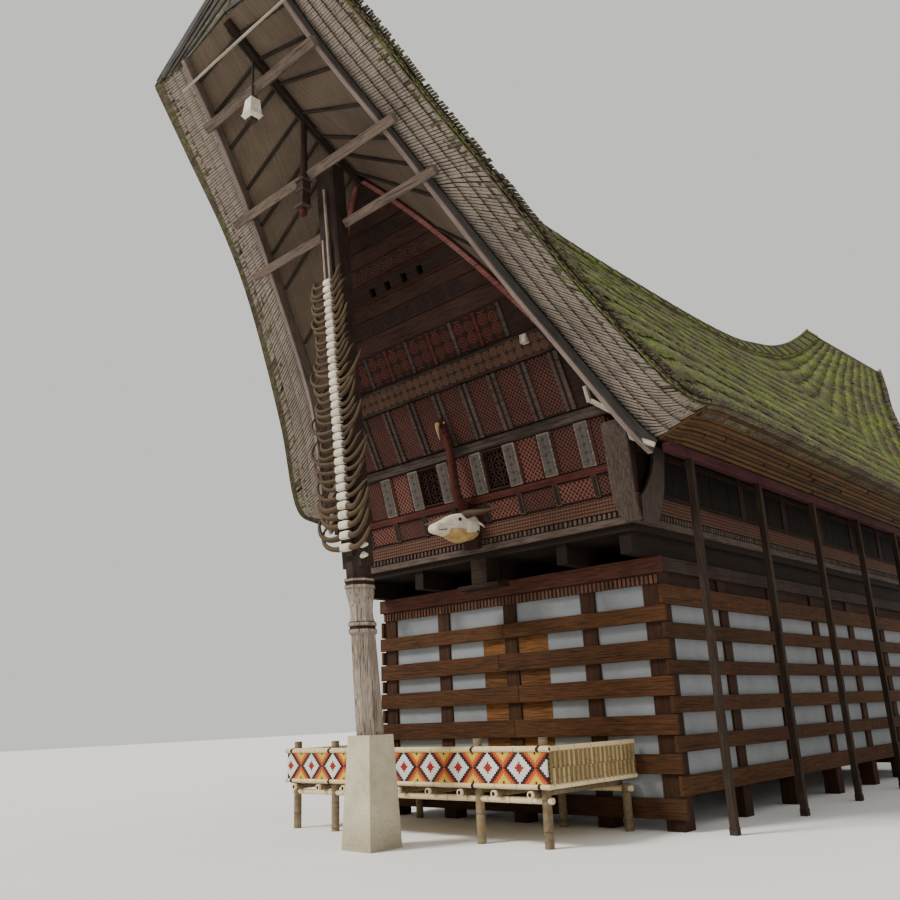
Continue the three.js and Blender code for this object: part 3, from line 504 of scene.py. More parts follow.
# ---- roof curves ----------------------------------------------------------------------
def curve(points):
    """The smooth edge through points, mirrored behind the middle of the house."""
    p = np.array(points, float)
    p = np.vstack([p, p[-2::-1] * (1, -1, 1)])
    p = np.vstack([2 * p[0] - p[1], p, 2 * p[-1] - p[-2]])

    def at(t):
        t = np.clip(np.asarray(t, float), 0, 1) * (len(p) - 3)
        i = np.minimum(t.astype(int), len(p) - 4)
        w = (t - i)[:, None]
        p0, p1, p2, p3 = p[i], p[i + 1], p[i + 2], p[i + 3]
        d0, d1, d2 = [np.linalg.norm(b - a, axis=1)[:, None] ** 0.5 for a, b in ((p0, p1), (p1, p2), (p2, p3))]
        t1 = ((p1 - p0) / d0 - (p2 - p0) / (d0 + d1) + (p2 - p1) / d1) * d1
        t2 = ((p2 - p1) / d1 - (p3 - p1) / (d1 + d2) + (p3 - p2) / d2) * d1
        return p1 + w * t1 + w**2 * (-3 * p1 + 3 * p2 - 2 * t1 - t2) + w**3 * (2 * p1 - 2 * p2 + t1 + t2)
    return at


OUTER = curve([(1.86, -11.29, 11.22), (2.15, -10.48, 10.45), (2.42, -9.59, 9.52), (2.735, -8.87, 8.66),
               (3.42, -7.655, 6.86), (4.17, -6.66, 5.50), (4.42, -6.05, 5.40), (4.5, -4.9, 5.38), (4.5, -3.0, 5.38),
               (4.5, 0, 5.38)])
INNER = curve([(1.12, -11.16, 11.34), (1.295, -10.405, 10.50), (1.60, -9.556, 9.55), (1.88, -8.843, 8.70),
               (2.50, -7.488, 7.00), (3.42, -6.28, 5.13), (3.53, -5.8, 5.09), (3.55, -4.9, 5.09), (3.55, -3.0, 5.09),
               (3.55, 0, 5.09)])
CEILING = curve([(0, -11.23, 11.36), (0, -10.45, 10.855), (0, -9.60, 10.34), (0, -8.90, 9.995), (0, -7.52, 9.45),
                 (0, -6.30, 9.175), (0, -5.8, 9.12), (0, -4.9, 9.10), (0, -3.0, 9.08), (0, 0, 9.05)])
RIDGE = curve([(0, -10.90, 13.20), (0, -10.25, 12.80), (0, -9.45, 12.38), (0, -8.80, 12.07), (0, -7.55, 11.62),
               (0, -6.05, 11.29), (0, -5.5, 11.18), (0, -4.7, 11.08), (0, -2.9, 10.98), (0, 0, 10.95)])


def spaced(at, pitch):
    """Parameters whose points lie `pitch` apart along a curve."""
    t = np.linspace(0, 1, 2400)
    p = at(t)
    s = run_of(p)
    n = int(s[-1] / pitch)
    return np.interp((np.arange(n) + 0.5) * s[-1] / n, s, t)


HALF_ROUND = np.radians([0, 40, 75, 105, 140, 180])
ROD_FACES = [(i, i + 1, i + 7, i + 6) for i in range(5)] + [disc(0, 6, True), disc(6, 6)]


def half_rods(pile, a, b, wide_a, wide_b, out, high, mat=0, tints=None):
    """Half-round bars from a to b, bulging along `out`; the widths are given as vectors."""
    n = len(a)
    cos, sin = np.cos(HALF_ROUND)[None, :, None], np.sin(HALF_ROUND)[None, :, None]
    rings = [p[:, None] + w[:, None] * cos + out[:, None] * (sin * high) for p, w in ((a, wide_a), (b, wide_b))]
    verts = np.concatenate(rings, axis=1)
    length = np.linalg.norm(b - a, axis=1)
    offset = rng.random((n, 1)) * 9
    x = np.concatenate([np.zeros((n, 6)), np.repeat(length[:, None], 6, axis=1)], axis=1) + offset
    y = np.tile(np.cos(HALF_ROUND) * 0.03, 2)[None] + offset
    z = np.tile(np.sin(HALF_ROUND) * 0.03, 2)[None] + offset
    pile.many(verts, ROD_FACES, mat, np.stack([x, y + 0 * x, z + 0 * x], axis=2), tints)


STRATA = (0.0, 0.24, 0.48, 0.72, 0.90, 1.0)  # where the layers of a verge end, as shares of its width
CORNER = 5 / 18  # the share of an edge curve that the verge takes up
VERGES = ((0.0, CORNER), (1 - CORNER, 1.0))
LOOSE = ((0.62, 0.985, 0.055), (0.78, 1.0, 0.09), (0.84, 1.0, 0.14), (0.88, 1.0, 0.20))
COURSES = 11


def face_frame(t):
    """Inner and outer edge points, the way across the soffit, along it, and up into the roof."""
    inner, outer = INNER(t), OUTER(t)
    along = unit(INNER(t + 0.002) - INNER(t - 0.002))
    face = outer - inner
    inward = unit(np.cross(face, along))
    inward *= np.sign(np.sum(inward * (RIDGE(t) - outer), axis=1))[:, None]
    return inner, outer, face, along, inward


# how far the last bars of a verge lean towards the eave: 0.62 m, as a share of the edge curve
STEP = 0.004
SKEW = 0.62 * 2 * STEP / float(np.linalg.norm(np.diff(OUTER(np.array([CORNER - STEP, CORNER + STEP])), axis=0)))


def near_eave(t):
    """0 at the tip of a prow, 1 where its verge meets the eave."""
    return np.clip(np.minimum(t, 1 - t) / CORNER, 0, 1)


def skewed(t, s):
    """Where bars that start at t on the inner edge have got to at the share s of the soffit."""
    inner, _, face, _, inward = face_frame(t + np.sign(0.5 - t) * SKEW * near_eave(t) ** 2 * s)
    point = inner + face * np.broadcast_to(s, t.shape)[:, None]
    return point, np.gradient(point, axis=0), inward


def verge_rods():
    """Short half-round bars across the verges, in lapped layers with a ragged outer edge."""
    under = Pile("roof_bamboo", "rafter", "roof_edge", "soffit_bamboo_painted_shade")
    for lo, hi in VERGES:
        # thin bars at the tip of the prow, thicker ones towards the eave
        fine = np.linspace(lo, hi, 2000)
        pitch = 0.036 + 0.038 * near_eave(fine) ** 1.5
        steps = np.linalg.norm(np.diff(lerp(INNER(fine), OUTER(fine), 0.5), axis=0), axis=1) / pitch[1:]
        count = np.concatenate([[0], np.cumsum(steps)])
        t = np.interp(np.arange(0.5, count[-1]), count, fine)
        n = len(t)
        half = 0.44 - 0.08 * near_eave(t)[:, None]
        tone = rng.uniform(0.4, 0.75, n)
        for j, (s0, s1) in enumerate(zip(STRATA[:-1], STRATA[1:])):
            jitter = rng.normal(0, 0.0014, (n, 1))
            pa, wide_a, in_a = skewed(t, max(0, s0 - 0.02))
            pb, wide_b, in_b = skewed(t, s1)
            short = rng.random((n, 1)) ** 2 * (0.015, 0.02, 0.03, 0.12, 0.4)[j]
            stray = wide_b * rng.normal(0, 0.06 + 0.12 * (j > 2), (n, 1))
            a = pa + in_a * ((0.06 if j else 0.024) + jitter)
            b = lerp(pb, pa, short) + in_b * (0.034 + jitter) + stray
            kept = rng.random(n) < (0.95 if j == 3 else 1.1)
            tints = np.clip(tone + rng.normal(0, 0.06, n) + (0.06 if j % 2 else -0.02), 0, 1)
            half_rods(under, a[kept], b[kept], (wide_a * half)[kept], (wide_b * half)[kept], -in_a[kept], 0.006,
                      2 if j == 4 else 0, tints[kept])
        # loose slats that stick out between the last layers
        for s0, s1, lift in LOOSE:
            pick = rng.random(n) < 0.8
            off = lift + rng.normal(0, 0.006, (pick.sum(), 1))
            (pa, wide_a, in_a), (pb, wide_b, in_b) = ([v[pick] for v in skewed(t, s)] for s in (s0, s1))
            half_rods(under, pa + in_a * off, lerp(pb, pa, rng.random((len(pa), 1)) * 0.1) + in_b * off,
                      wide_a * 0.43, wide_b * 0.43, -in_a, 0.012, 2)
    # a pole closes the layers where the eave begins; its soffit bamboo is darkened as painted shade under the eave
    for corner in (CORNER, 1 - CORNER):
        point, _, inward = skewed(np.full(8, corner), np.linspace(0.02, 0.96, 8))
        under.tube(point + inward * 0.03, 0.02, 8, 3, 0.8)
    for lo, hi in VERGES + ((CORNER, 1 - CORNER),):
        inner, outer, _, _, inward = face_frame(np.linspace(lo, hi, 60))
        strip(under, inner + inward * 0.064, outer + inward * 0.064, 1)
    return under


def eave_poles():
    """Long bamboos along the eaves, lapped like steps from the beam out to the edge."""
    # the soffit bamboo is its own weathered brown, darkened further as painted shade under the eave
    p = Pile("soffit_bamboo_painted_shade", "roof_edge")
    rows = 12
    for k in range(rows):
        s = (k + 0.5) / rows
        ends = [CORNER + SKEW * s, 1 - CORNER - SKEW * s]
        cuts = np.sort(np.concatenate([ends, rng.uniform(CORNER + 0.05, 0.95 - CORNER, 3)]))
        for lo, hi in zip(cuts[:-1], cuts[1:]):
            t = np.linspace(lo + 0.0008, hi - 0.0008, max(5, int((hi - lo) * 110)))
            inner, _, face, _, inward = face_frame(t)
            line = inner + face * s + inward * (0.046 + 0.012 * (k % 3) + rng.normal(0, 0.002))
            p.tube(line, 0.040 * rng.uniform(0.88, 1.08), 8, 0 if k < rows - 2 else 1)
    # the cut ends of the layers above, along the outer edge
    first = CORNER + SKEW
    t = lerp(first, 1 - first, spaced(lambda q: OUTER(lerp(first, 1 - first, q)), 0.05))
    _, outer, face, along, inward = face_frame(t)
    out = unit(face)
    for lift in (0.05, 0.10):
        off = np.array([0, 0, lift])
        a = outer - out * 0.4 + off
        b = outer - out * (0.02 + rng.random((len(t), 1)) * 0.04 + lift * 0.2) + off
        half_rods(p, a, b, along * 0.021, along * 0.021, -inward, 0.018, 1)
    return p


def roof_courses():
    """Lapped bamboo courses on the outer slope."""
    top = Pile("roof_top", "roof_edge")
    t = spaced(lambda q: lerp(RIDGE(q), OUTER(q), 0.6), 0.095)
    n = len(t)
    half = np.gradient(t) * 0.5
    r, o = RIDGE(t), OUTER(t)
    wr, wo = ((at(t + half) - at(t - half)) / 2 for at in (RIDGE, OUTER))
    normal = unit(np.cross(o - r, unit(lerp(wr, wo, 0.6))))
    normal *= np.sign(normal[:, 2])[:, None]
    plain = (0.42 / np.linalg.norm(o - r, axis=1))[:, None]
    edges = [0 * plain] + [plain + (1 - plain) * k / COURSES for k in range(COURSES + 1)]
    for j in range(COURSES + 1):
        wob = rng.normal(0, 0.006, (n, 1))
        s0 = edges[j]
        s1 = np.minimum(edges[j + 1] + 0.01 + rng.normal(0, 0.005, (n, 1)), 0.996)
        deep = -0.058 if j else -0.03
        a = lerp(r, o, s0) + normal * (deep + wob)
        b = lerp(r, o, s1) + normal * (-0.022 - 0.012 * (j == COURSES) + wob)
        half_rods(top, a, b, lerp(wr, wo, s0) * 1.02, lerp(wr, wo, s1) * 1.02, normal, 0.026)
    q = np.linspace(0, 1, 160)
    strip(top, RIDGE(q) + (0, 0, -0.07), OUTER(q) + (-0.03, 0, -0.05), 1)
    return top


def end_stacks():
    """Ends of the layers seen on the tips of the prows."""
    ends = Pile("roof_edge", "rafter", "verge_side")
    for end in (0.0, 1.0):
        b, o, a, r = (at(np.array([end]))[0] for at in (INNER, OUTER, CEILING, RIDGE))
        sign = -1 if end == 0 else 1
        count = 34
        for k in range(count):
            s = (k + 0.5) / count
            low, high = lerp(b, o, s), lerp(a, r, s)
            short = rng.random() * 0.03
            pts = [lerp(low, high, w) + (0, -sign * (0.032 + 0.01 * rng.random()), 0)
                   for w in np.linspace(0.015 + short, 0.985, 5)]
            ends.tube(pts, 0.026, 6, 0, rng.uniform(0, 0.45))
        for s, w in ((0.90, 0.11), (0.72, 0.03), (0.5, 0.025), (0.28, 0.025), (0.06, 0.05)):
            low, high = lerp(b, o, s), lerp(a, r, s)
            ends.beam(lerp(low, high, 0.01), lerp(low, high, 0.985), w, 0.03, unit(o - b), 2, 0.4)
        quad = np.array([b, o, r, a]) + (0, -sign * 0.05, 0)
        ends.add(quad, [(0, 1, 2, 3) if end == 0 else (3, 2, 1, 0)], 1)
    return ends


def strip_pattern(s, low, high):
    return np.vstack([np.column_stack([s, low + 0 * s, 0 * s]), np.column_stack([s, high + 0 * s, 0 * s])])


def strip(pile, a, b, mat=0, tint=0.5, pat=None, smooth=True):
    """A sheet between two lines with the same number of points."""
    n = len(a)
    verts = np.concatenate([a, b])
    faces = [(i, i + 1, n + i + 1, n + i) for i in range(n - 1)]
    if pat is None:
        pat = strip_pattern(run_of(a), 0, np.linalg.norm(b - a, axis=1))
    pile.add(verts, faces, mat, tint, pat, smooth)


def ceiling():
    """The matting under the roof with its rafters."""
    mats = Pile("soffit")
    q = np.linspace(0, 1, 150)
    i, c = INNER(q), CEILING(q)
    w, rows = np.linalg.norm(c - i, axis=1), 8
    for k in range(rows):
        a, b = lerp(i, c, k / rows), lerp(i, c, (k + 1) / rows)
        strip(mats, a + (0, 0, 0.004), b + (0, 0, 0.004), 0, 0.5,
              strip_pattern(run_of(i), w * k / rows, w * (k + 1) / rows))
    bars = Pile("rafter")
    # where the rafters of one half are, in 36ths of the edge curve
    sections = [0.6, 1.5, 2.4, 3.4, 4.4, 5.3, 6.2, 7.1, 8.0, 12, 14, 15, 16, 16.6, 17.3, 18]
    for i in sections + [36 - k for k in sections if k < 18]:
        at = np.array([i / 36])
        a, b = INNER(at)[0], CEILING(at)[0]
        foot = 0.04 if i < 9 or i > 27 else 1 - 2.68 / a[0]
        bars.tube([lerp(a, b, w) - (0, 0, 0.022) for w in np.linspace(foot, 0.99, 6)], 0.028, 6)
    line = CEILING(np.linspace(0.006, 0.5, 30)) - (0, 0, 0.10)
    for end in (1, -1):
        bars.tube(line * (1, end, 1), 0.055)
    return mats, bars


def build_roof():
    both(SIDES, verge_rods(), "verge_layers", ["roof"], slot="roof_bamboo")
    both(SIDES, eave_poles(), "eave_bamboos", slot="roof_bamboo")
    both(SIDES, roof_courses(), "roof_courses", slot="roof_bamboo")
    both(SIDES, end_stacks(), "roof_end_stacks", slot="roof_bamboo")
    mats, bars = ceiling()
    both(SIDES, mats, "ceiling_matting", slot="roof_bamboo")
    both(SIDES, bars, "rafters", slot="weathered_timber")
    cap = Pile("roof_top", "rafter")
    q = np.linspace(0.003, 0.997, 90)
    r, o = RIDGE(q), OUTER(q)
    down = unit(o - r)
    lift = unit(np.column_stack([-down[:, 2], 0 * down[:, 0], down[:, 0]]))
    for sign in (1, -1):
        flip = np.array([sign, 1, 1])
        for k in range(7):
            line = (r + down * (0.02 + 0.058 * k) + lift * (0.032 + 0.006 * (k % 2))) * flip
            cap.tube(line, 0.03, 6, 0)
        for at in spaced(RIDGE, 0.55)[:, None]:
            a, b = RIDGE(at)[0], OUTER(at)[0]
            d = unit(b - a)
            n = unit(np.array([-d[2], 0, d[0]]))
            cap.tube([(a + d * 0.01 + n * 0.075) * flip, (a + d * 0.43 + n * 0.07) * flip], 0.017, 6, 1)
    cap.tube(RIDGE(q) + (0, 0, 0.055), 0.045, 8, 0)
    cap.make("ridge_poles", ["ridge_cap"], slot="roof_bamboo")


# ---- walls ----------------------------------------------------------------------------
WALL_LEAN, GABLE_LEAN = 0.29, 0.49  # metres out for each metre up
WALL_FOOT, FLOOR_Z, RAIL_Z = 6.29, 4.5, 5.60


def wall_face(z):
    """How far the end wall and the gable over it stand out at the height z."""
    return WALL_FOOT + WALL_LEAN * (np.minimum(z, RAIL_Z) - FLOOR_Z) + np.maximum(0.0, z - RAIL_Z) * GABLE_LEAN


def on_wall(pile, x, half, z0, z1, proud, mat=0, plain=True, tint=None, thick=None, top=None):
    """A plate on the end wall, `half` to each side of x (`top` at its upper edge), `proud` of the face."""
    lean = GABLE_LEAN if z0 >= RAIL_Z - 0.001 else WALL_LEAN
    k = math.hypot(1, lean)
    h = (z1 - z0) * k
    thick, top = proud if thick is None else thick, half if top is None else top
    outline = [(x - half, 0), (x + half, 0), (x + top, h), (x - top, h)]
    origin = np.array([0, -wall_face(z0), z0]) + np.array([0, -1, -lean]) / k * (proud - thick)
    pile.slab(outline, origin, (1, 0, 0), (0, -lean, 1), thick, mat, tint, plain, (x, h / 2))


def gable_edge():
    """Half-width of the gable at each height, where its face meets the ceiling."""
    t = np.linspace(0.02, 0.5, 700)
    s = np.linspace(0, 1, 300)
    pts = []
    for a, b in zip(INNER(t), CEILING(t)):
        p = a + (b - a) * s[:, None]
        g = p[:, 1] + wall_face(p[:, 2])
        hit = np.nonzero(g[:-1] * g[1:] < 0)[0]
        if len(hit):
            pts.append(p[hit[0]])
    return np.array(sorted(pts, key=lambda p: p[2]))


EDGE = gable_edge()


def half_at(z):
    return float(np.interp(z, EDGE[:, 2], EDGE[:, 0]))


def row_of(pile, count, pitch, half, z0, z1, mat, keep=0.1, proud=0.012, shift=0.0):
    """Plates in a row on the end wall, as far out as the gable allows."""
    for k in range(-count, count + 1):
        x = (k + shift) * pitch
        if abs(x) + half < half_at(z1) - keep:
            on_wall(pile, x, half, z0, z1, proud, mat)


def carved_front():
    boards = Pile("dark_wood", "red_wood", "grey_wood", "strip_wood", "dark_flat")
    art = Pile("net", "net_dark", "scroll", "sun", "cross", "scroll_grey", "faint")
    bars = Pile("dark_wood")
    # lower band of carved panels
    pitch = 0.686
    for k in range(-4, 5):
        last = abs(k) == 4
        x = k * pitch - np.sign(k) * 0.12 * last
        on_wall(art, x, 0.16 if last else 0.30, 4.53, 4.80, 0.012, 0 if k % 2 else 1)
    for k in range(-4, 4):
        on_wall(boards, (k + 0.5) * pitch, 0.05, 4.51, 4.83, 0.03, 3, False)
        on_wall(art, (k + 0.5) * pitch, 0.03, 4.53, 4.81, 0.034, 6, thick=0.006)
    # window row
    for x in (-2.40, -1.72, -1.05, -0.36, 0.36, 1.05, 1.72, 2.40):
        on_wall(boards, x, 0.115, 4.945, 5.585, 0.045, 2, False)
        on_wall(art, x, 0.085, 4.97, 5.56, 0.052, 5, thick=0.008)
    for x, w, m in ((-2.07, 0.215, 1), (2.07, 0.215, 1), (-1.385, 0.2, 0), (1.385, 0.2, 0), (-2.67, 0.14, 1),
                    (2.67, 0.14, 1), (0, 0.23, 0)):
        on_wall(art, x, w, 4.95, 5.58, 0.012, m)
        for dx in (-w + 0.012, w - 0.012):
            on_wall(boards, x + dx, 0.014, 4.95, 5.58, 0.028, 1, False)
    for x in (-0.72, 0.72):
        lattice(bars, x, 0.21, 5.0, 5.55)
        for dx, half, z0, z1 in ((-0.225, 0.02, 4.96, 5.58), (0.225, 0.02, 4.96, 5.58), (0, 0.24, 4.96, 4.99),
                                 (0, 0.24, 5.555, 5.585)):
            on_wall(boards, x + dx, half, z0, z1, 0.03, 0, False, thick=0.1)
    # upper row under the carved beam
    pitch = 0.585
    row_of(art, 4, pitch, 0.2, 5.79, 6.57, 1, 0.1, 0.012, 0.5)
    for offsets, keep, half, proud, m in (((-0.055, 0.055), 0.1, 0.032, 0.04, 3), ((0,), 0.2, 0.02, 0.02, 0)):
        for x in (k * pitch + dx for k in range(-4, 5) for dx in offsets):
            if abs(x) < half_at(6.55) - keep:
                on_wall(boards, x, half, 5.77, 6.58, proud, m, False)
    # carved squares above the beam, then plain boards with faint rows of motifs
    pitch = 0.49
    row_of(art, 5, pitch, 0.205, 6.99, 7.43, 2, 0.16, 0.016)
    for k in range(-5, 5):
        x = (k + 0.5) * pitch
        if abs(x) < half_at(7.43) - 0.2:
            on_wall(boards, x, 0.034, 6.97, 7.45, 0.024, 3 if k % 2 else 1, False)
    for z0, z1, motif, pitch in ((7.47, 7.72, 0, 0), (7.73, 7.96, 6, 0.36), (7.97, 8.17, 0, 0), (8.48, 8.70, 4, 0.30),
                                 (8.71, 8.92, 0, 0), (8.93, 9.14, 6, 0.26), (9.15, 9.34, 0, 0)):
        lo, hi = half_at(z0) - 0.12, half_at(z1) - 0.12
        if hi < 0.1:
            break
        on_wall(boards, 0, lo, z0 + 0.004, z1 - 0.004, 0.018, 0, False, top=hi)
        if motif:
            row_of(art, 9, pitch, pitch * 0.44, z0 + 0.025, z1 - 0.025, motif, 0.18, 0.022)
    for z in (8.19, 8.455):
        on_wall(boards, 0, half_at(z) - 0.13, z - 0.012, z + 0.012, 0.026, 1, False)
    return boards, art, bars


def lattice(pile, x, half, z0, z1):
    """Crossing slats in a window."""
    k = math.hypot(1, WALL_LEAN)
    h = (z1 - z0) * k
    ey = unit((0, -WALL_LEAN, 1))
    normal = np.array([0, -1, -WALL_LEAN]) / k
    origin = np.array([x, -wall_face(z0), z0]) - normal * 0.03
    for d in np.arange(-h, h * 2, 0.105):
        for lean in (1, -1):
            pts = []
            for s in np.linspace(0, 1, 60):
                u = -half + 2 * half * s
                v = d + lean * (u + half) * 1.35
                if 0 <= v <= h:
                    pts.append(origin + (u, 0, 0) + ey * v)
            if len(pts) > 4:
                pile.beam(pts[0], pts[-1], 0.02, 0.016, normal, 0)
    for u in (-0.07, 0.07):
        foot = origin + (u, 0, 0) + normal * 0.014
        pile.beam(foot, foot + ey * h, 0.014, 0.024, (1, 0, 0))


def gable_trim():
    """Carved beam across the gable and the sloping boards above it."""
    p = Pile("pink_wood", "beam_scroll", "trunk")
    zs = np.linspace(5.82, EDGE[-1, 2] - 0.12, 26)
    width = 0.095
    for sign in (1, -1):
        for z0, z1 in zip(zs[:-1], zs[1:]):
            a, b = half_at(z0) - 0.02, half_at(z1) - 0.02
            h = (z1 - z0) * math.hypot(1, GABLE_LEAN)
            outline = [(sign * u, v) for u, v in ((a - width, 0), (a, 0), (b, h), (b - width, h))][::sign]
            p.slab(outline, (0, -wall_face(z0), z0), (1, 0, 0), (0, -GABLE_LEAN, 1), 0.055, 0, 0.5, False)
    z0, z1 = 6.60, 6.93
    a, b = half_at(z0) - 0.06, half_at(z1) - 0.06
    on_wall(p, 0, a, z0, z1, 0.104, 2, False, 0.5, top=b)
    on_wall(p, 0, a - 0.05, z0 + 0.03, z1 - 0.03, 0.11, 1, True, 0.5, 0.01, b - 0.05)
    return p


def end_rails():
    p = Pile("strip_wood", "red_wood")
    y = wall_face(RAIL_Z)
    half = min(2.9, half_at(5.76) - 0.02)
    p.span((-half, half), (-y - 0.068, -y + 0.095), (5.60, 5.68))
    p.span((-half, half), (-y - 0.055, -y + 0.095), (5.683, 5.757))
    on_wall(p, 0, 2.86, 4.83, 4.93, 0.045, 1, False, thick=0.044)
    return p


def sill():
    """The carved sill round the house: plain edge, dentils and a dotted beam."""
    p = Pile("sill_wood", "dark_wood", "dots")
    X, Y, deep, inset, board = 2.948, 6.298, 0.15, 0.03, 0.05
    edge, step, dentil, beam_z, beam_h = (4.062, 4.16), (4.16, 4.258), (4.175, 4.25), 4.26, 0.238
    for s in (1, -1):
        p.span((-X, X), (s * Y, s * (Y - deep)), edge)
        p.span((s * X, s * (X - deep)), (-Y + deep + 0.001, Y - deep - 0.001), edge)
        p.span((-X + inset, X - inset), (s * (Y - inset), s * (Y - 0.18)), step, 1)
        p.span((s * (X - inset), s * (X - 0.18)), (-Y + 0.2, Y - 0.2), step, 1)
        for x in np.arange(-X + 0.05, X - 0.03, 0.085):
            p.span((x - 0.022, x + 0.022), (s * Y, s * (Y - inset)), dentil)
        for y in np.arange(-Y + 0.1, Y - 0.06, 0.085):
            p.span((s * X, s * (X - inset)), (y - 0.022, y + 0.022), dentil)
        for half, origin, along in ((X, (0, s * (Y - board), beam_z), (-s, 0, 0)),
                                    (Y - board - 0.001, (s * (X - board), 0, beam_z), (0, s, 0))):
            outline = [(-half, 0), (half, 0), (half, beam_h), (-half, beam_h)]
            p.slab(outline, origin, along, (0, 0, 1), board, 2, 0.5)
        p.span((-X, X), (s * Y, s * (Y - 0.02)), (4.485, 4.5), 1)
    return p


# ---- under-storey ---------------------------------------------------------------------
FRONT_PLANKS = [(0.15, 0.42), (0.72, 0.98), (1.22, 1.49), (1.735, 2.0), (2.225, 2.495), (2.74, 2.97), (3.275, 3.4)]
SIDE_PLANKS = [(0.44, 0.70), (0.99, 1.21), (1.50, 1.725), (2.01, 2.215), (2.505, 2.73), (2.98, 3.26), (3.45, 3.6)]
LY, LX, LOWER_TOP = 5.64, 2.84, 3.66
LEG, POST, BOARD, GAP = 0.28, 0.13, 0.058, 0.003  # a corner leg, half a post, a plank's thickness, half a joint
POSTS = (-1.38, 0.085, 1.60)
SIDE_POSTS = (-3.7, -1.85, 0.0, 1.85, 3.7)
DOOR = (-0.52, 0.80)  # the brown boards in the middle of the front


def between(posts, end):
    """The bays between posts, from one corner leg to the other."""
    marks = [-end + LEG] + [x + d for x in posts for d in (-POST, POST)] + [end - LEG]
    return list(zip(marks[::2], marks[1::2]))


def gaps(planks):
    """The heights left open between planks, and where the panels behind them reach to."""
    return [(low[1] - 0.03, high[0] + 0.03) for low, high in zip(planks[:-1], planks[1:])]


def under_storey_end():
    p = Pile("brown_wood", "brown_post", "dark_wood", "comb", "lintel")
    for s in (1, -1):
        p.span((s * LX, s * (LX - LEG)), (-LY, -LY + LEG), (0, LOWER_TOP), 1)
    for x in POSTS:
        p.span((x - POST, x + POST), (-LY, -LY + 2 * POST), (0, LOWER_TOP), 1)
    for z0, z1 in FRONT_PLANKS[:-1]:
        cut = rng.uniform(-0.35, 0.35)
        for x in ((-LX - 0.08, cut - 0.002), (cut + 0.002, LX + 0.08)):
            p.span(x, (-LY - BOARD + 0.004 * rng.random(), -LY), (z0 + GAP, z1 - GAP))
    p.span((-LX - 0.08, LX + 0.08), (-LY - BOARD, -LY), (3.425, 3.655), 4)
    p.span((-LX - 0.02, LX + 0.02), (-LY - 0.03, -LY), (3.40, 3.425), 2)
    for x in np.arange(-LX + 0.02, LX, 0.074):
        p.span((x - 0.022, x + 0.022), (-LY - 0.036, -LY - 0.005), (3.275, 3.40), 3)
    p.span((-LX, LX), (-LY - 0.012, -LY), (3.272, 3.40), 2)
    infill = Pile("panel", "door_wood")
    y = -LY + 0.05
    for row, z in enumerate(gaps(FRONT_PLANKS)):
        for bay, (x0, x1) in enumerate(between(POSTS, LX)):
            if bay in (0, 3) or row == 5:
                infill.span((x0, x1), (y - 0.01, y + 0.01), z)
                continue
            lo, hi = max(x0, DOOR[0]), min(x1, DOOR[1])
            for a, b, m in ((x0, lo, 0), (lo, hi, 1), (hi, x1, 0)):
                if b - a > 0.02:
                    n = max(1, int((b - a) / 0.34)) if m else 1
                    w = (b - a) / n
                    for k in range(n):
                        infill.span((a + k * w + 0.002, a + (k + 1) * w - 0.002), (y - 0.02, y + 0.01), z, m)
    return p, infill


def under_storey_side():
    p = Pile("brown_wood", "brown_post", "dark_wood", "trunk")
    x, end = LX + 0.0003, LY + 0.055
    for y in SIDE_POSTS:
        p.span((LX - 2 * POST, LX), (y - POST, y + POST), (0, LOWER_TOP), 1)
    for z0, z1 in SIDE_PLANKS[:-1]:
        cuts = [-end, -1.9 + rng.uniform(-0.4, 0.4), 1.9 + rng.uniform(-0.4, 0.4), end]
        for y0, y1 in zip(cuts[:-1], cuts[1:]):
            p.span((x, x + 0.056 + 0.003 * rng.random()), (y0 + 0.002, y1 - 0.002), (z0 + GAP, z1 - GAP))
    p.span((x, x + BOARD), (-LY + 0.01, LY - 0.01), (3.45, 3.655), 3)
    infill = Pile("panel", "dark_wood")
    # the top row, under the eave, is dark wood in place of grey panel: painted shade of the eave
    for z in gaps(SIDE_PLANKS):
        for y in between(SIDE_POSTS, LY):
            infill.span((LX - 0.06, LX - 0.04), y, z, 1 if z[1] > 3.4 else 0)
    return p, infill


def side_wall():
    """Upright boards between posts, with a rail at mid height. The boards are coloured nearly black as painted shade
    of the eave.
    """
    p = Pile("wall_side_painted_shade", "dark_wood")
    x, end, foot, boards = 2.83, 6.22, 4.503, 40
    marks = np.linspace(-end, end, boards + 1)
    for a, b in zip(marks[:-1], marks[1:]):
        p.span((x, x + 0.045 + 0.006 * rng.random()), (a + 0.002, b - 0.002), (foot, 5.85))
    for y in np.linspace(-end + 0.1, end - 0.1, 8):
        p.span((x, x + 0.068), (y - 0.09, y + 0.09), (foot, 5.86), 1)
    for thick, z in ((0.064, (foot, 4.6)), (0.06, (5.16, 5.25))):
        p.span((x, x + thick), (-end, end), z, 1)
    return p


# ---- posts, horns, animals ------------------------------------------------------------
def post_y(z):
    """The axis of the leaning gable post, which starts on its pillar at 1.39 m."""
    return -8.6 - 0.083 * (z - 1.39)


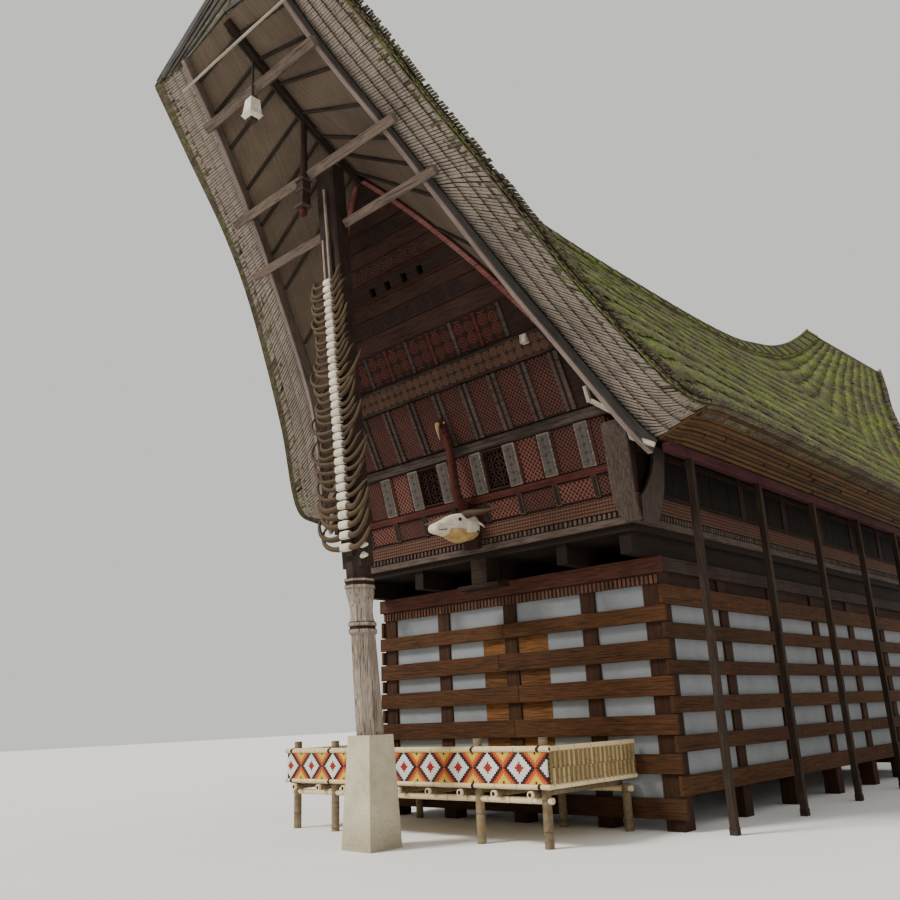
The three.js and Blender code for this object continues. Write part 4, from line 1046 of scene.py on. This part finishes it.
def tall_post():
    p = Pile("post_wood", "trunk", "dark_wood", "strip_wood", "pink_wood")
    # the carved foot: height and radius of each ring
    profile = [(1.391, 0.19), (1.45, 0.196), (2.69, 0.176), (2.705, 0.20), (2.72, 0.207), (2.755, 0.207),
               (2.768, 0.188), (2.80, 0.188), (2.813, 0.206), (2.845, 0.206), (2.86, 0.181), (2.93, 0.166),
               (3.02, 0.164), (3.12, 0.176), (3.22, 0.20), (3.275, 0.208), (3.30, 0.20), (3.315, 0.222),
               (3.345, 0.222), (3.36, 0.204), (3.385, 0.204), (3.40, 0.22), (3.43, 0.22), (3.45, 0.183),
               (3.66, 0.183)]
    a = (np.arange(8) + 0.5) * math.pi / 4
    verts = np.vstack([np.column_stack([r * np.cos(a), post_y(z) + r * np.sin(a), 0 * a + z]) for z, r in profile])
    n = len(profile)
    for k, f in enumerate(loft(n, 8) + [disc(0, 8, True), disc((n - 1) * 8, 8)]):
        low = profile[k // 8][0]
        dark = 2.75 < low < 2.79 or 2.84 < low < 2.855 or 3.34 < low < 3.39 or 3.42 < low < 3.44
        q = verts[list(f)]
        p.add(q, [tuple(range(len(f)))], 2 if dark else (1 if low > 3.44 else 0), 0.5, q[:, [2, 0, 1]])
    p.beam((0, post_y(3.6), 3.6), (0, post_y(9.71), 9.71), 0.396, 0.236, (1, 0, 0), 1, 0.55)
    for s in (-1, 1):
        p.tube([(s * 0.052 - 0.03, post_y(z) - 0.165, z) for z in (7.7, 8.4, 8.9 + 0.4 * s)], 0.024, 8, 0, 0.9)
    p.beam(*((-0.205, post_y(z) - 0.06, z) for z in (3.8, 9.65)), 0.025, 0.08, (1, 0, 0), 4)
    return p


def horns():
    p = Pile("horn", "bone", "trunk")
    count = 34
    for k in range(count):
        share = k / (count - 1)
        z = 3.85 + 3.92 * share ** 0.9
        face = post_y(z) - 0.118 - 0.045
        low = k < 5
        size = (1.22 if k in (8, 9, 13, 19) else rng.uniform(0.78, 1.0)) * (1.12 if low else 1.0)
        thick = 0.031 * rng.uniform(0.85, 1.1) * (1.35 if low else 1.0)
        roll, tone = rng.normal(0, 0.04), rng.random() * 0.9 + (0.1 if low else 0)
        for s in (1, -1):
            reach = (0.52 - 0.15 * share) * size * rng.uniform(0.9, 1.05)
            close = rng.uniform(1.75, 2.35) + (0.2 if low else 0)
            rise = reach * rng.uniform(0.4, 0.75) * (1.15 if low else 1.0)
            pts, rad = [], []
            droop = 0.06 + rng.normal(0, 0.015)
            for i in range(17):
                u = i / 16
                ang = u * close
                x = s * (0.05 + (reach - 0.05) * math.sin(min(ang, math.pi / 2)))
                x *= 1 - 0.2 * max(0, ang - math.pi / 2) ** 1.2
                y = face - 0.018 - 0.085 * math.sin(math.pi * u) + 0.035 * u
                up = rise * (1 - math.cos(ang)) * 0.7 - droop * math.sin(math.pi * min(1, u * 1.5))
                pts.append((x, y, z + 0.01 + up + roll * s * u))
                rad.append(thick * (1 - u ** 1.6) ** 0.9 * (0.94 + 0.12 * rng.random()) + 0.003)
            p.tube(pts, rad, 9, 0, tone)
        # the forehead bone between two horns
        w, h = 0.094 - 0.026 * share + 0.012 * rng.random(), 0.056 - 0.014 * share + 0.005 * rng.random()
        turn = np.arange(16) * math.pi / 8
        cos, sin = np.cos(turn), np.sin(turn)
        cos, sin = (np.sign(v) * np.abs(v) ** 0.45 for v in (cos, sin))
        shape = np.column_stack([cos * w, 0 * cos, sin * h])
        rings = [shape * (kx, 1, kz) + (rng.normal(0, 0.003), face + 0.004 - out, z + 0.01)
                 for kx, kz, out in ((1, 0.9, 0), (1.04, 1, 0.045), (0.96, 0.9, 0.075), (0.6, 0.5, 0.088))]
        p.add(np.vstack(rings), loft(4, 16) + [disc(48, 16)], 1, None, None, True)
    for z, x in ((3.72, 0.235), (3.86, 0.25)):
        y = post_y(z)
        lash = [(x - 0.05, y - 0.09, z), (x + 0.04, y - 0.13, z + 0.01), (x + 0.10, y - 0.12, z)]
        p.tube(lash, [0.03, 0.045, 0.02], 8, 1)
    p.beam(*((0, post_y(z) - 0.14, z) for z in (3.74, 8.46)), 0.15, 0.042, (1, 0, 0), 2)
    return p


def bird():
    p = Pile("red_wood", "dark_wood", "beak", "scroll")
    path = [(-6.44, 4.80), (-6.55, 4.805), (-6.655, 4.90), (-6.72, 5.12), (-6.755, 5.35), (-6.79, 5.6), (-6.84, 5.80),
            (-6.905, 5.95), (-6.965, 6.04)]
    fine = curve_through(np.array([(0, y, z) for y, z in path]), 34)
    at = np.linspace(0, 1, 34)
    p.tube(fine, np.interp(at, [0, 0.15, 0.3, 0.85, 1], [0.085, 0.085, 0.073, 0.062, 0.055]), 12, 0, flatten=1.1)
    # raised rings on the neck
    for i in range(8, 30, 3):
        p.tube(fine[i:i + 2], 0.082 - 0.0007 * i, 12, 1, flatten=1.1)
    head = curve_through(np.array([(0, -6.93, 6.02), (0, -6.97, 6.085), (0, -7.03, 6.10), (0, -7.07, 6.06)]), 12)
    p.tube(head, np.interp(np.linspace(0, 1, 12), [0, 0.4, 1], [0.055, 0.08, 0.05]), 12, 0, flatten=0.95)
    beak = curve_through(np.array([(0, -7.06, 6.09), (0, -7.085, 6.03), (0, -7.07, 5.93), (0, -7.035, 5.81)]), 12)
    p.tube(beak, np.linspace(0.05, 0.006, 12), 10, 2, flatten=0.8)
    for s in (1, -1):
        p.tube([(s * 0.06, -7.0, 6.09), (s * 0.085, -7.0, 6.09)], [0.02, 0.012], 8, 2)
    comb = [(0, -6.93, 6.07), (0, -6.95, 6.14), (0, -7.0, 6.165), (0, -7.03, 6.13)]
    p.tube(comb, [0.015, 0.026, 0.026, 0.012], 6, 1, flatten=0.5)
    p.span((-0.09, 0.09), (-6.515, -6.39), (4.725, 4.832), 3, 0.5)
    return p


def curve_through(points, n):
    p = np.vstack([2 * points[0] - points[1], points, 2 * points[-1] - points[-2]])
    out = []
    for s in np.linspace(0, len(points) - 1.0001, n):
        i, w = int(s), s - int(s)
        a, b, c, d = p[i], p[i + 1], p[i + 2], p[i + 3]
        out.append(0.5 * (2 * b + (c - a) * w + (2 * a - 5 * b + 4 * c - d) * w**2 + (3 * b - a - 3 * c + d) * w**3))
    return np.array(out)


def buffalo():
    """Head with a white face and a bare underside, level horns and small ears."""
    p = Pile("skull", "jaw", "horn", "dark_wood", "bone")
    # distance, height, half width and half height of each section
    secs = [(-6.375, 4.44, 0.19, 0.19), (-6.44, 4.445, 0.235, 0.22), (-6.53, 4.44, 0.245, 0.245),
            (-6.62, 4.43, 0.24, 0.262), (-6.72, 4.42, 0.222, 0.262), (-6.82, 4.418, 0.2, 0.238),
            (-6.92, 4.41, 0.175, 0.197), (-7.02, 4.39, 0.15, 0.156), (-7.12, 4.37, 0.132, 0.122),
            (-7.21, 4.352, 0.12, 0.098), (-7.265, 4.343, 0.10, 0.075), (-7.288, 4.338, 0.05, 0.04)]
    m = 28
    a = np.arange(m) * 2 * math.pi / m
    rings = []
    for y, z, hx, hz in secs:
        brow = 1 + 0.10 * np.maximum(0, np.sin(a)) * np.abs(np.cos(a))
        flat = 1 - 0.10 * np.abs(np.cos(2 * a)) - 0.05 * np.maximum(0, np.sin(a)) ** 6
        rings.append(np.column_stack([hx * np.cos(a) * brow, y + 0 * a, z + hz * np.sin(a) * flat]))
    for k in range(len(rings) - 1):
        verts = np.vstack(rings[k:k + 2])
        low = math.sin(math.radians(-14 if k > 3 else -30))
        for j in range(m):
            under = math.sin(a[j] + math.pi / m) < low and k < 7
            i = (j + 1) % m
            p.add(verts[[j, i, i + m, j + m]], [(0, 1, 2, 3)], 1 if under else (4 if k < 2 else 0), 0.5, None, True)
    p.add(rings[-1], [tuple(range(m))], 0)
    p.add(rings[0], [tuple(range(m))[::-1]], 4)
    for s in (1, -1):
        pts = curve_through(np.array([(s * 0.12, -6.66, 4.60), (s * 0.28, -6.70, 4.605), (s * 0.46, -6.715, 4.59),
                                      (s * 0.64, -6.68, 4.595), (s * 0.815, -6.61, 4.625)]), 18)
        p.tube(pts, np.interp(np.linspace(0, 1, 18), [0, 0.35, 1], [0.078, 0.058, 0.008]), 12, 2)
        ear = [(s * 0.22, -6.55, 4.52), (s * 0.29, -6.53, 4.49), (s * 0.36, -6.51, 4.43), (s * 0.40, -6.50, 4.38)]
        p.tube(ear, [0.02, 0.05, 0.042, 0.006], 8, 4, flatten=0.4)
        p.tube([(s * 0.185, -6.84, 4.51), (s * 0.21, -6.842, 4.513)], [0.032, 0.018], 12, 3)
        p.tube([(s * 0.085, -7.20, 4.40), (s * 0.10, -7.215, 4.405)], [0.02, 0.012], 10, 3)
        p.tube([(s * 0.2, -6.47, 4.36), (s * 0.232, -6.472, 4.35)], [0.022, 0.016], 10, 3)
    # mouth line under the snout
    mouth = np.array([(0.128, -7.08, 4.335), (0.118, -7.17, 4.318), (0.08, -7.25, 4.31), (0, -7.284, 4.31)])
    p.tube(curve_through(np.vstack([mouth, mouth[-2::-1] * (-1, 1, 1)]), 24), 0.007, 6, 3)
    p.span((-0.145, 0.145), (-6.415, -6.305), (4.115, 4.40), 3)
    return p


# ---- platform -------------------------------------------------------------------------
PX, PY = (-2.97, 2.20), (-7.70, -5.7003)


def knotted(p, a, b, r, mat=0, step=0.36):
    """A bamboo pole with a swelling at each node."""
    a, b = np.asarray(a, float), np.asarray(b, float)
    length = np.linalg.norm(b - a)
    marks, s = [], rng.uniform(0.05, step)
    while s < length - 0.03:
        marks += [s - 0.018, s - 0.004, s + 0.004, s + 0.018]
        s += step * rng.uniform(0.85, 1.1)
    stations = np.array([0.0] + marks + [length])
    rad = np.full(len(stations), r * 0.94)
    for i in range(0, len(marks), 4):
        rad[2 + i:4 + i] = r
    p.tube([lerp(a, b, s / length) for s in stations], rad, 12, mat)


def platform():
    p = Pile("pale_bamboo", "rafter", "old_bamboo")
    xs = (-2.85, -1.93, 0.99, 2.08)
    yf, yb = -7.5897, -5.79
    joist_z, rails, guard_h = 0.622, (0.71, 1.15), 0.44
    for x in xs:
        knotted(p, (x, yf, 0), (x, yf, 1.288), 0.064, 2, 0.3)
        knotted(p, (x, yb, 0), (x, yb, 0.60), 0.064, 2, 0.3)
        p.tube([(x, yf, 1.288), (x, yf, 1.2885)], [0.05, 0.048], 10, 1)
    for y in (yf, yb):
        knotted(p, (PX[0] + 0.02, y, 0.543), (PX[1] - 0.02, y, 0.543), 0.042)
    for k in range(9):
        x = PX[0] + 0.24 + k * (PX[1] - PX[0] - 0.48) / 8
        knotted(p, (x, PY[0] - 0.068, joist_z), (x, PY[1] - 0.03, joist_z), 0.042, 2)
        p.tube([(x, PY[0] - 0.03, joist_z), (x, PY[0] - 0.0682, joist_z)], 0.045, 12, 0, 0.9)
        p.tube([(x, PY[0] - 0.0685, joist_z), (x, PY[0] - 0.069, joist_z)], [0.029, 0.028], 10, 1)
    for z in rails:
        for dy, dz in ((0.0, -0.0036), (0.02, 0.009)) if z > 1 else ((0.0, 0.0),):
            knotted(p, (PX[0] - 0.045, PY[0] + dy, z + dz), (PX[1] + 0.045, PY[0] + dy, z + dz), 0.033)
        for x in PX:
            knotted(p, (x, PY[0] + 0.045, z), (x, PY[1] - 0.002, z), 0.034)
    # lashings of the rails to the posts
    a = np.linspace(0, 2 * math.pi, 15)
    for x in xs:
        for z in rails:
            for d in (-0.012, 0.0, 0.012):
                ring = np.column_stack([x + d + 0 * a, -7.645 + 0.098 * np.cos(a), z + 0.04 * np.sin(a)])
                p.tube(ring, 0.006, 5, 1, caps=False)
    deck = Pile("mat", "pale_bamboo")
    y0, y1, n = PY[0] + 0.05, PY[1] - 0.003, 72
    pitch, ends = (y1 - y0) / n, (PX[0] + 0.05, PX[1] - 0.05)
    for y in (y0 + pitch * (k + 0.5) for k in range(n)):
        marks = [ends[0], *(x + d for x in xs for d in (-0.07, 0.07)), ends[1]] if abs(y - yf) < 0.08 else ends
        for xa, xb in zip(marks[::2], marks[1::2]):
            if xb - xa > 0.03:
                slat(deck, xa, xb, y, pitch)
    guard, sides = Pile("band", "mat"), Pile("mat", "guard_bamboo")
    w, d, thick, up = PX[1] - PX[0], PY[1] - PY[0] - 0.05, 0.026, (0, 0, 1)
    guard.slab([(0, 0), (w, 0), (w, guard_h), (0, guard_h)], (PX[0], PY[0] + 0.02, rails[0]), (1, 0, 0), up, thick,
               0, 0.5, True, (w / 2, guard_h / 2))
    for x, out in zip(PX, (-0.02, 0.02)):
        sides.slab([(0, 0), (d, 0), (d, guard_h), (0, guard_h)], (x - thick / 2, PY[0] + 0.045, rails[0]), (0, 1, 0),
                   up, thick, 0, 0.5)
        for k in range(19):
            y = PY[0] + 0.11 + k * (d - 0.14) / 18
            for z0, z1, shift in ((0.72, 0.922, 0.0), (0.93, 1.13, 0.03)):
                at = min(y + shift, PY[1] - 0.06)
                sides.beam((x + out, at, z0), (x + out, at, z1), 0.035, 0.014, (0, 1, 0), 1, rng.random())
    p.make("platform_poles", ["platform_frame"], slot="bamboo_pale")
    deck.make("platform_slats", ["platform_deck"], slot="bamboo_pale")
    guard.make("platform_band", ["platform_front_guard"], slot="woven_band")
    sides.make("platform_side_mats", ["platform_right_guard", "platform_left_guard"], slot="woven_mat")


def slat(pile, x0, x1, y, pitch):
    z = 0.676 + 0.004 * rng.random()
    x0, x1 = x0 + 0.01 * rng.random(), x1 - 0.01 * rng.random()
    pile.span((x0, x1), (y - pitch * 0.44, y + pitch * 0.44), (z - 0.008, z + 0.012), 1)


# ---- verge timbers, eaves, corners ----------------------------------------------------
def verge_frame():
    """Boards along the verge, tie beams, the ridge pole's head and the light pole above them."""
    p = Pile("verge_board", "verge_edge", "dark_wood", "bare_wood", "verge_side")
    t = np.linspace(0, CORNER, 44)
    i = INNER(t)
    tan = unit(np.gradient(i, axis=0))
    out = unit(np.column_stack([0 * tan[:, 0], tan[:, 2], -tan[:, 1]]))
    out *= -np.sign(out[:, 1])[:, None]
    dist = run_of(i)
    for s in (1, -1):
        root = i * (s, 1, 1)
        grow = 0.15 * np.clip((t - 0.14) / (CORNER - 0.14), 0, 1)[:, None]
        for lo, hi, w1, m in ((0.002 + 0 * grow, 0.112 + grow, 0.06, 0), (0.114 + grow, 0.142 + grow, 0.066, 1)):
            a, b = root + out * lo, root + out * hi
            rings = [a, b, b - (s * w1, 0, 0), a - (s * w1, 0, 0)]
            for r in range(4):
                q = (r + 1) % 4
                first, second = (rings[r], rings[q]) if s > 0 else (rings[q], rings[r])
                strip(p, second, first, 4 if r == 0 and m == 0 else m, 0.6, strip_pattern(dist, r, r + 0.2), False)
    for where, beyond, kind in ((1.76, 0.055, 0), (4.0, 0.285, 0), (5.6, 0.285, 1)):
        q = np.array([where / 36])
        c, tn = INNER(q)[0], unit(INNER(q + 0.004)[0] - INNER(q - 0.004)[0])
        o = unit(np.array([0, tn[2], -tn[1]]))
        o = o if o[1] < 0 else -o
        mid = c + o * 0.20
        half = c[0] + beyond
        spans = ((0.208, half), (-half, -0.208)) if kind else ((-half, half),)
        for x0, x1 in spans:
            p.beam((x0, mid[1], mid[2]), (x1, mid[1], mid[2]), 0.13, 0.11, np.cross(o, (1, 0, 0)), 0, 0.8)
    light = [(-1.27, -11.11, 10.88), (-0.4, -11.115, 10.885), (0.5, -11.115, 10.885), (1.27, -11.11, 10.88)]
    p.tube(light, 0.022, 8, 3)
    p.tube([(0, -11.2, 11.30), (0, -10.4, 10.80), (0, -9.6, 10.33)], 0.07, 10, 2)
    # small white details under the verges
    for s in (1, -1):
        p.span((s * 1.98, s * 2.09), (-7.38, -7.26), (6.73, 6.86), 3)
        for (xa, ya, za), (xb, yb, zb), wide, deep, side in (
                ((2.72, -6.9, 5.98), (2.71, -6.80, 5.76), 0.06, 0.07, (1, 0, 0)),
                ((2.71, -6.80, 5.79), (3.08, -6.76, 5.50), 0.07, 0.06, (0, 0, 1)),
                ((3.17, -6.63, 5.33), (3.2, -6.58, 5.14), 0.06, 0.06, (1, 0, 0)),
                ((3.19, -6.58, 5.16), (3.50, -6.53, 4.99), 0.07, 0.05, (0, 0, 1))):
            p.beam((s * xa, ya, za), (s * xb, yb, zb), wide, deep, side, 3)
    return p


def hanging():
    """Flared white box and carved dark block under the ridge, with their hangers."""
    p = Pile("bone", "strip_wood", "rafter", "red_wood", "dark_wood")
    y, z = -10.72, 10.04  # the white box
    p.tube([(0, y - 0.02, 10.98), (0, y, z + 0.2)], 0.022, 6, 2)
    square = np.array([(-1, -1, 0), (1, -1, 0), (1, 1, 0), (-1, 1, 0)])
    for h0, z0, h1, z1, m in ((0.045, 0.24, 0.06, 0.17, 1), (0.075, 0.17, 0.10, -0.09, 0),
                              (0.115, -0.09, 0.075, -0.15, 0), (0.06, -0.15, 0.055, -0.19, 2)):
        p.add(np.vstack([square * h1 + (0, y, z + z1), square * h0 + (0, y, z + z0)]), BOX, m)
    y, z = -9.79, 9.07  # the dark block
    p.tube([(0, y, z + 1.36), (0, y, z + 0.9), (0, y, z + 0.22)], [0.05, 0.045, 0.06], 8, 4)
    p.span((-0.075, 0.075), (y - 0.075, y + 0.075), (z - 0.20, z + 0.20), 4)
    for dz, h in ((0.20, 0.095), (0.03, 0.085), (-0.23, 0.1)):
        p.span((-h, h), (y - h, y + h), (z + dz, z + dz + 0.025), 1)
    p.tube([(0, y, z - 0.23), (0, y, z - 0.27), (0, y, z - 0.33), (0, y, z - 0.37)], [0.03, 0.06, 0.065, 0.03], 10, 3)
    return p


def eave_side():
    p = Pile("eave_red", "eave_post", "rafter")
    p.span((3.452, 3.568), (-6.238, 6.238), (4.952, 5.088), 0)
    for y in (-5.6, -3.36, -1.12, 1.12, 3.36, 5.6):
        p.span((3.462, 3.558), (y - 0.048, y + 0.048), (0, 4.952), 1)
        p.span((3.455, 3.565), (y - 0.055, y + 0.055), (0, 0.10), 2)
    return p


def carry_over():
    """Source solids that are shown as they are, with their own materials and eased edges."""
    for nodes, mat, bevel in (("front_pillar rear_pillar", "plaster", 0.018),
                              ("front_wall rear_wall front_gable rear_gable", "dark_flat", 0.0),
                              ("left_corner_board right_corner_board right_side_corner_board", "corner_wood", 0.006),
                              ("floor", "brown_flat", 0.01), ("centre_bracket", "dark_flat", 0.01)):
        for node in nodes.split():
            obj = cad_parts[node]
            obj.data.materials.clear()
            obj.data.materials.append(M[mat])
            ease(obj, bevel, 2, 30)


# ---- assembly -------------------------------------------------------------------------
build_roof()
boards, art, bars = carved_front()
both(ENDS, boards, "wall_boards", bevel=0.004, slot="weathered_timber")
both(ENDS, art, "carved_panels", slot="carved_dark")
both(ENDS, bars, "window_lattice", slot="carved_dark")
both(ENDS, gable_trim(), "gable_trim", ["gable_frame"], 0.006, "carved_red")
rails = end_rails().make("front_rails", ["front_upper_rail", "front_lower_rail"], 0.006, "weathered_timber")
show(rails, "rear_rails", ["rear_upper_rail"], 0.006, True)
sill().make("carved_sill", ["sill_ring"], 0.003, slot="carved_dark")
timbers, infill = under_storey_end()
both(ENDS, timbers, "under_storey_timbers", ["lower_frame"], 0.008, "plank_brown")
both(ENDS, infill, "under_storey_panels", ["infill"], slot="infill_grey")
timbers, infill = under_storey_side()
both(SIDES, timbers, "under_storey_timbers", ["lower_frame"], 0.008, "plank_brown")
both(SIDES, infill, "under_storey_panels", ["infill"], slot="infill_grey")
both(SIDES, side_wall(), "wall_planks", ["wall"], 0.004, "carved_dark")
both(ENDS, tall_post(), "tall_post", ["post"], 0.008, "weathered_timber")
horns().make("stacked_horns", ["horn_stack"], slot="horn")
bird().make("long_necked_bird_carving", ["long_necked_bird"], slot="carved_red")
buffalo().make("buffalo_head_carving", ["buffalo_head"], slot="white_paint")
both(ENDS, verge_frame(), "verge_timbers", ["verge_frame"], 0.006, "weathered_timber")
both(ENDS, hanging(), "hanging_ornaments", slot="white_paint")
both(SIDES, eave_side(), "eave_timbers", ["eave_frame"], 0.006, "carved_red")
platform()
carry_over()

# ---- stage, light and camera ----------------------------------------------------------
bpy.ops.mesh.primitive_plane_add(size=160, location=(0, 0, 0))
ground = bpy.context.object
ground.name = "ground"
ground.data.materials.append(M["floor"])

world = bpy.context.scene.world = bpy.data.worlds.new("sky")
world.use_nodes = True
sky = world.node_tree.nodes["Background"].inputs
sky[0].default_value, sky[1].default_value = (1.0, 0.985, 0.96, 1), 0.80

sun = bpy.data.lights.new("sun", "SUN")
sun.energy, sun.angle, sun.color = 3.5, math.radians(16), (1.0, 0.97, 0.92)
lamp = bpy.data.objects.new("sun", sun)
lamp.rotation_euler = Vector((0.35, 0.60, -0.72)).to_track_quat("-Z", "Y").to_euler()
bpy.context.scene.collection.objects.link(lamp)

cam = bpy.data.cameras.new("camera")
cam.lens, cam.sensor_width = 35.08, 36
cam.clip_end = 500
camera = bpy.data.objects.new("camera", cam)
yaw, pitch, roll = math.radians(42.3), math.radians(16.8), math.radians(-2.4)
f = np.array([-math.sin(yaw) * math.cos(pitch), math.cos(yaw) * math.cos(pitch), math.sin(pitch)])
level = np.array([math.cos(yaw), math.sin(yaw), 0])
upright = np.cross(level, f)
r = math.cos(roll) * level + math.sin(roll) * upright
u = -math.sin(roll) * level + math.cos(roll) * upright
camera.matrix_world = Matrix(np.vstack([np.column_stack([r, u, -f, (9.111, -16.813, 1.600)]), (0, 0, 0, 1)]).tolist())
bpy.context.scene.collection.objects.link(camera)
bpy.context.scene.camera = camera
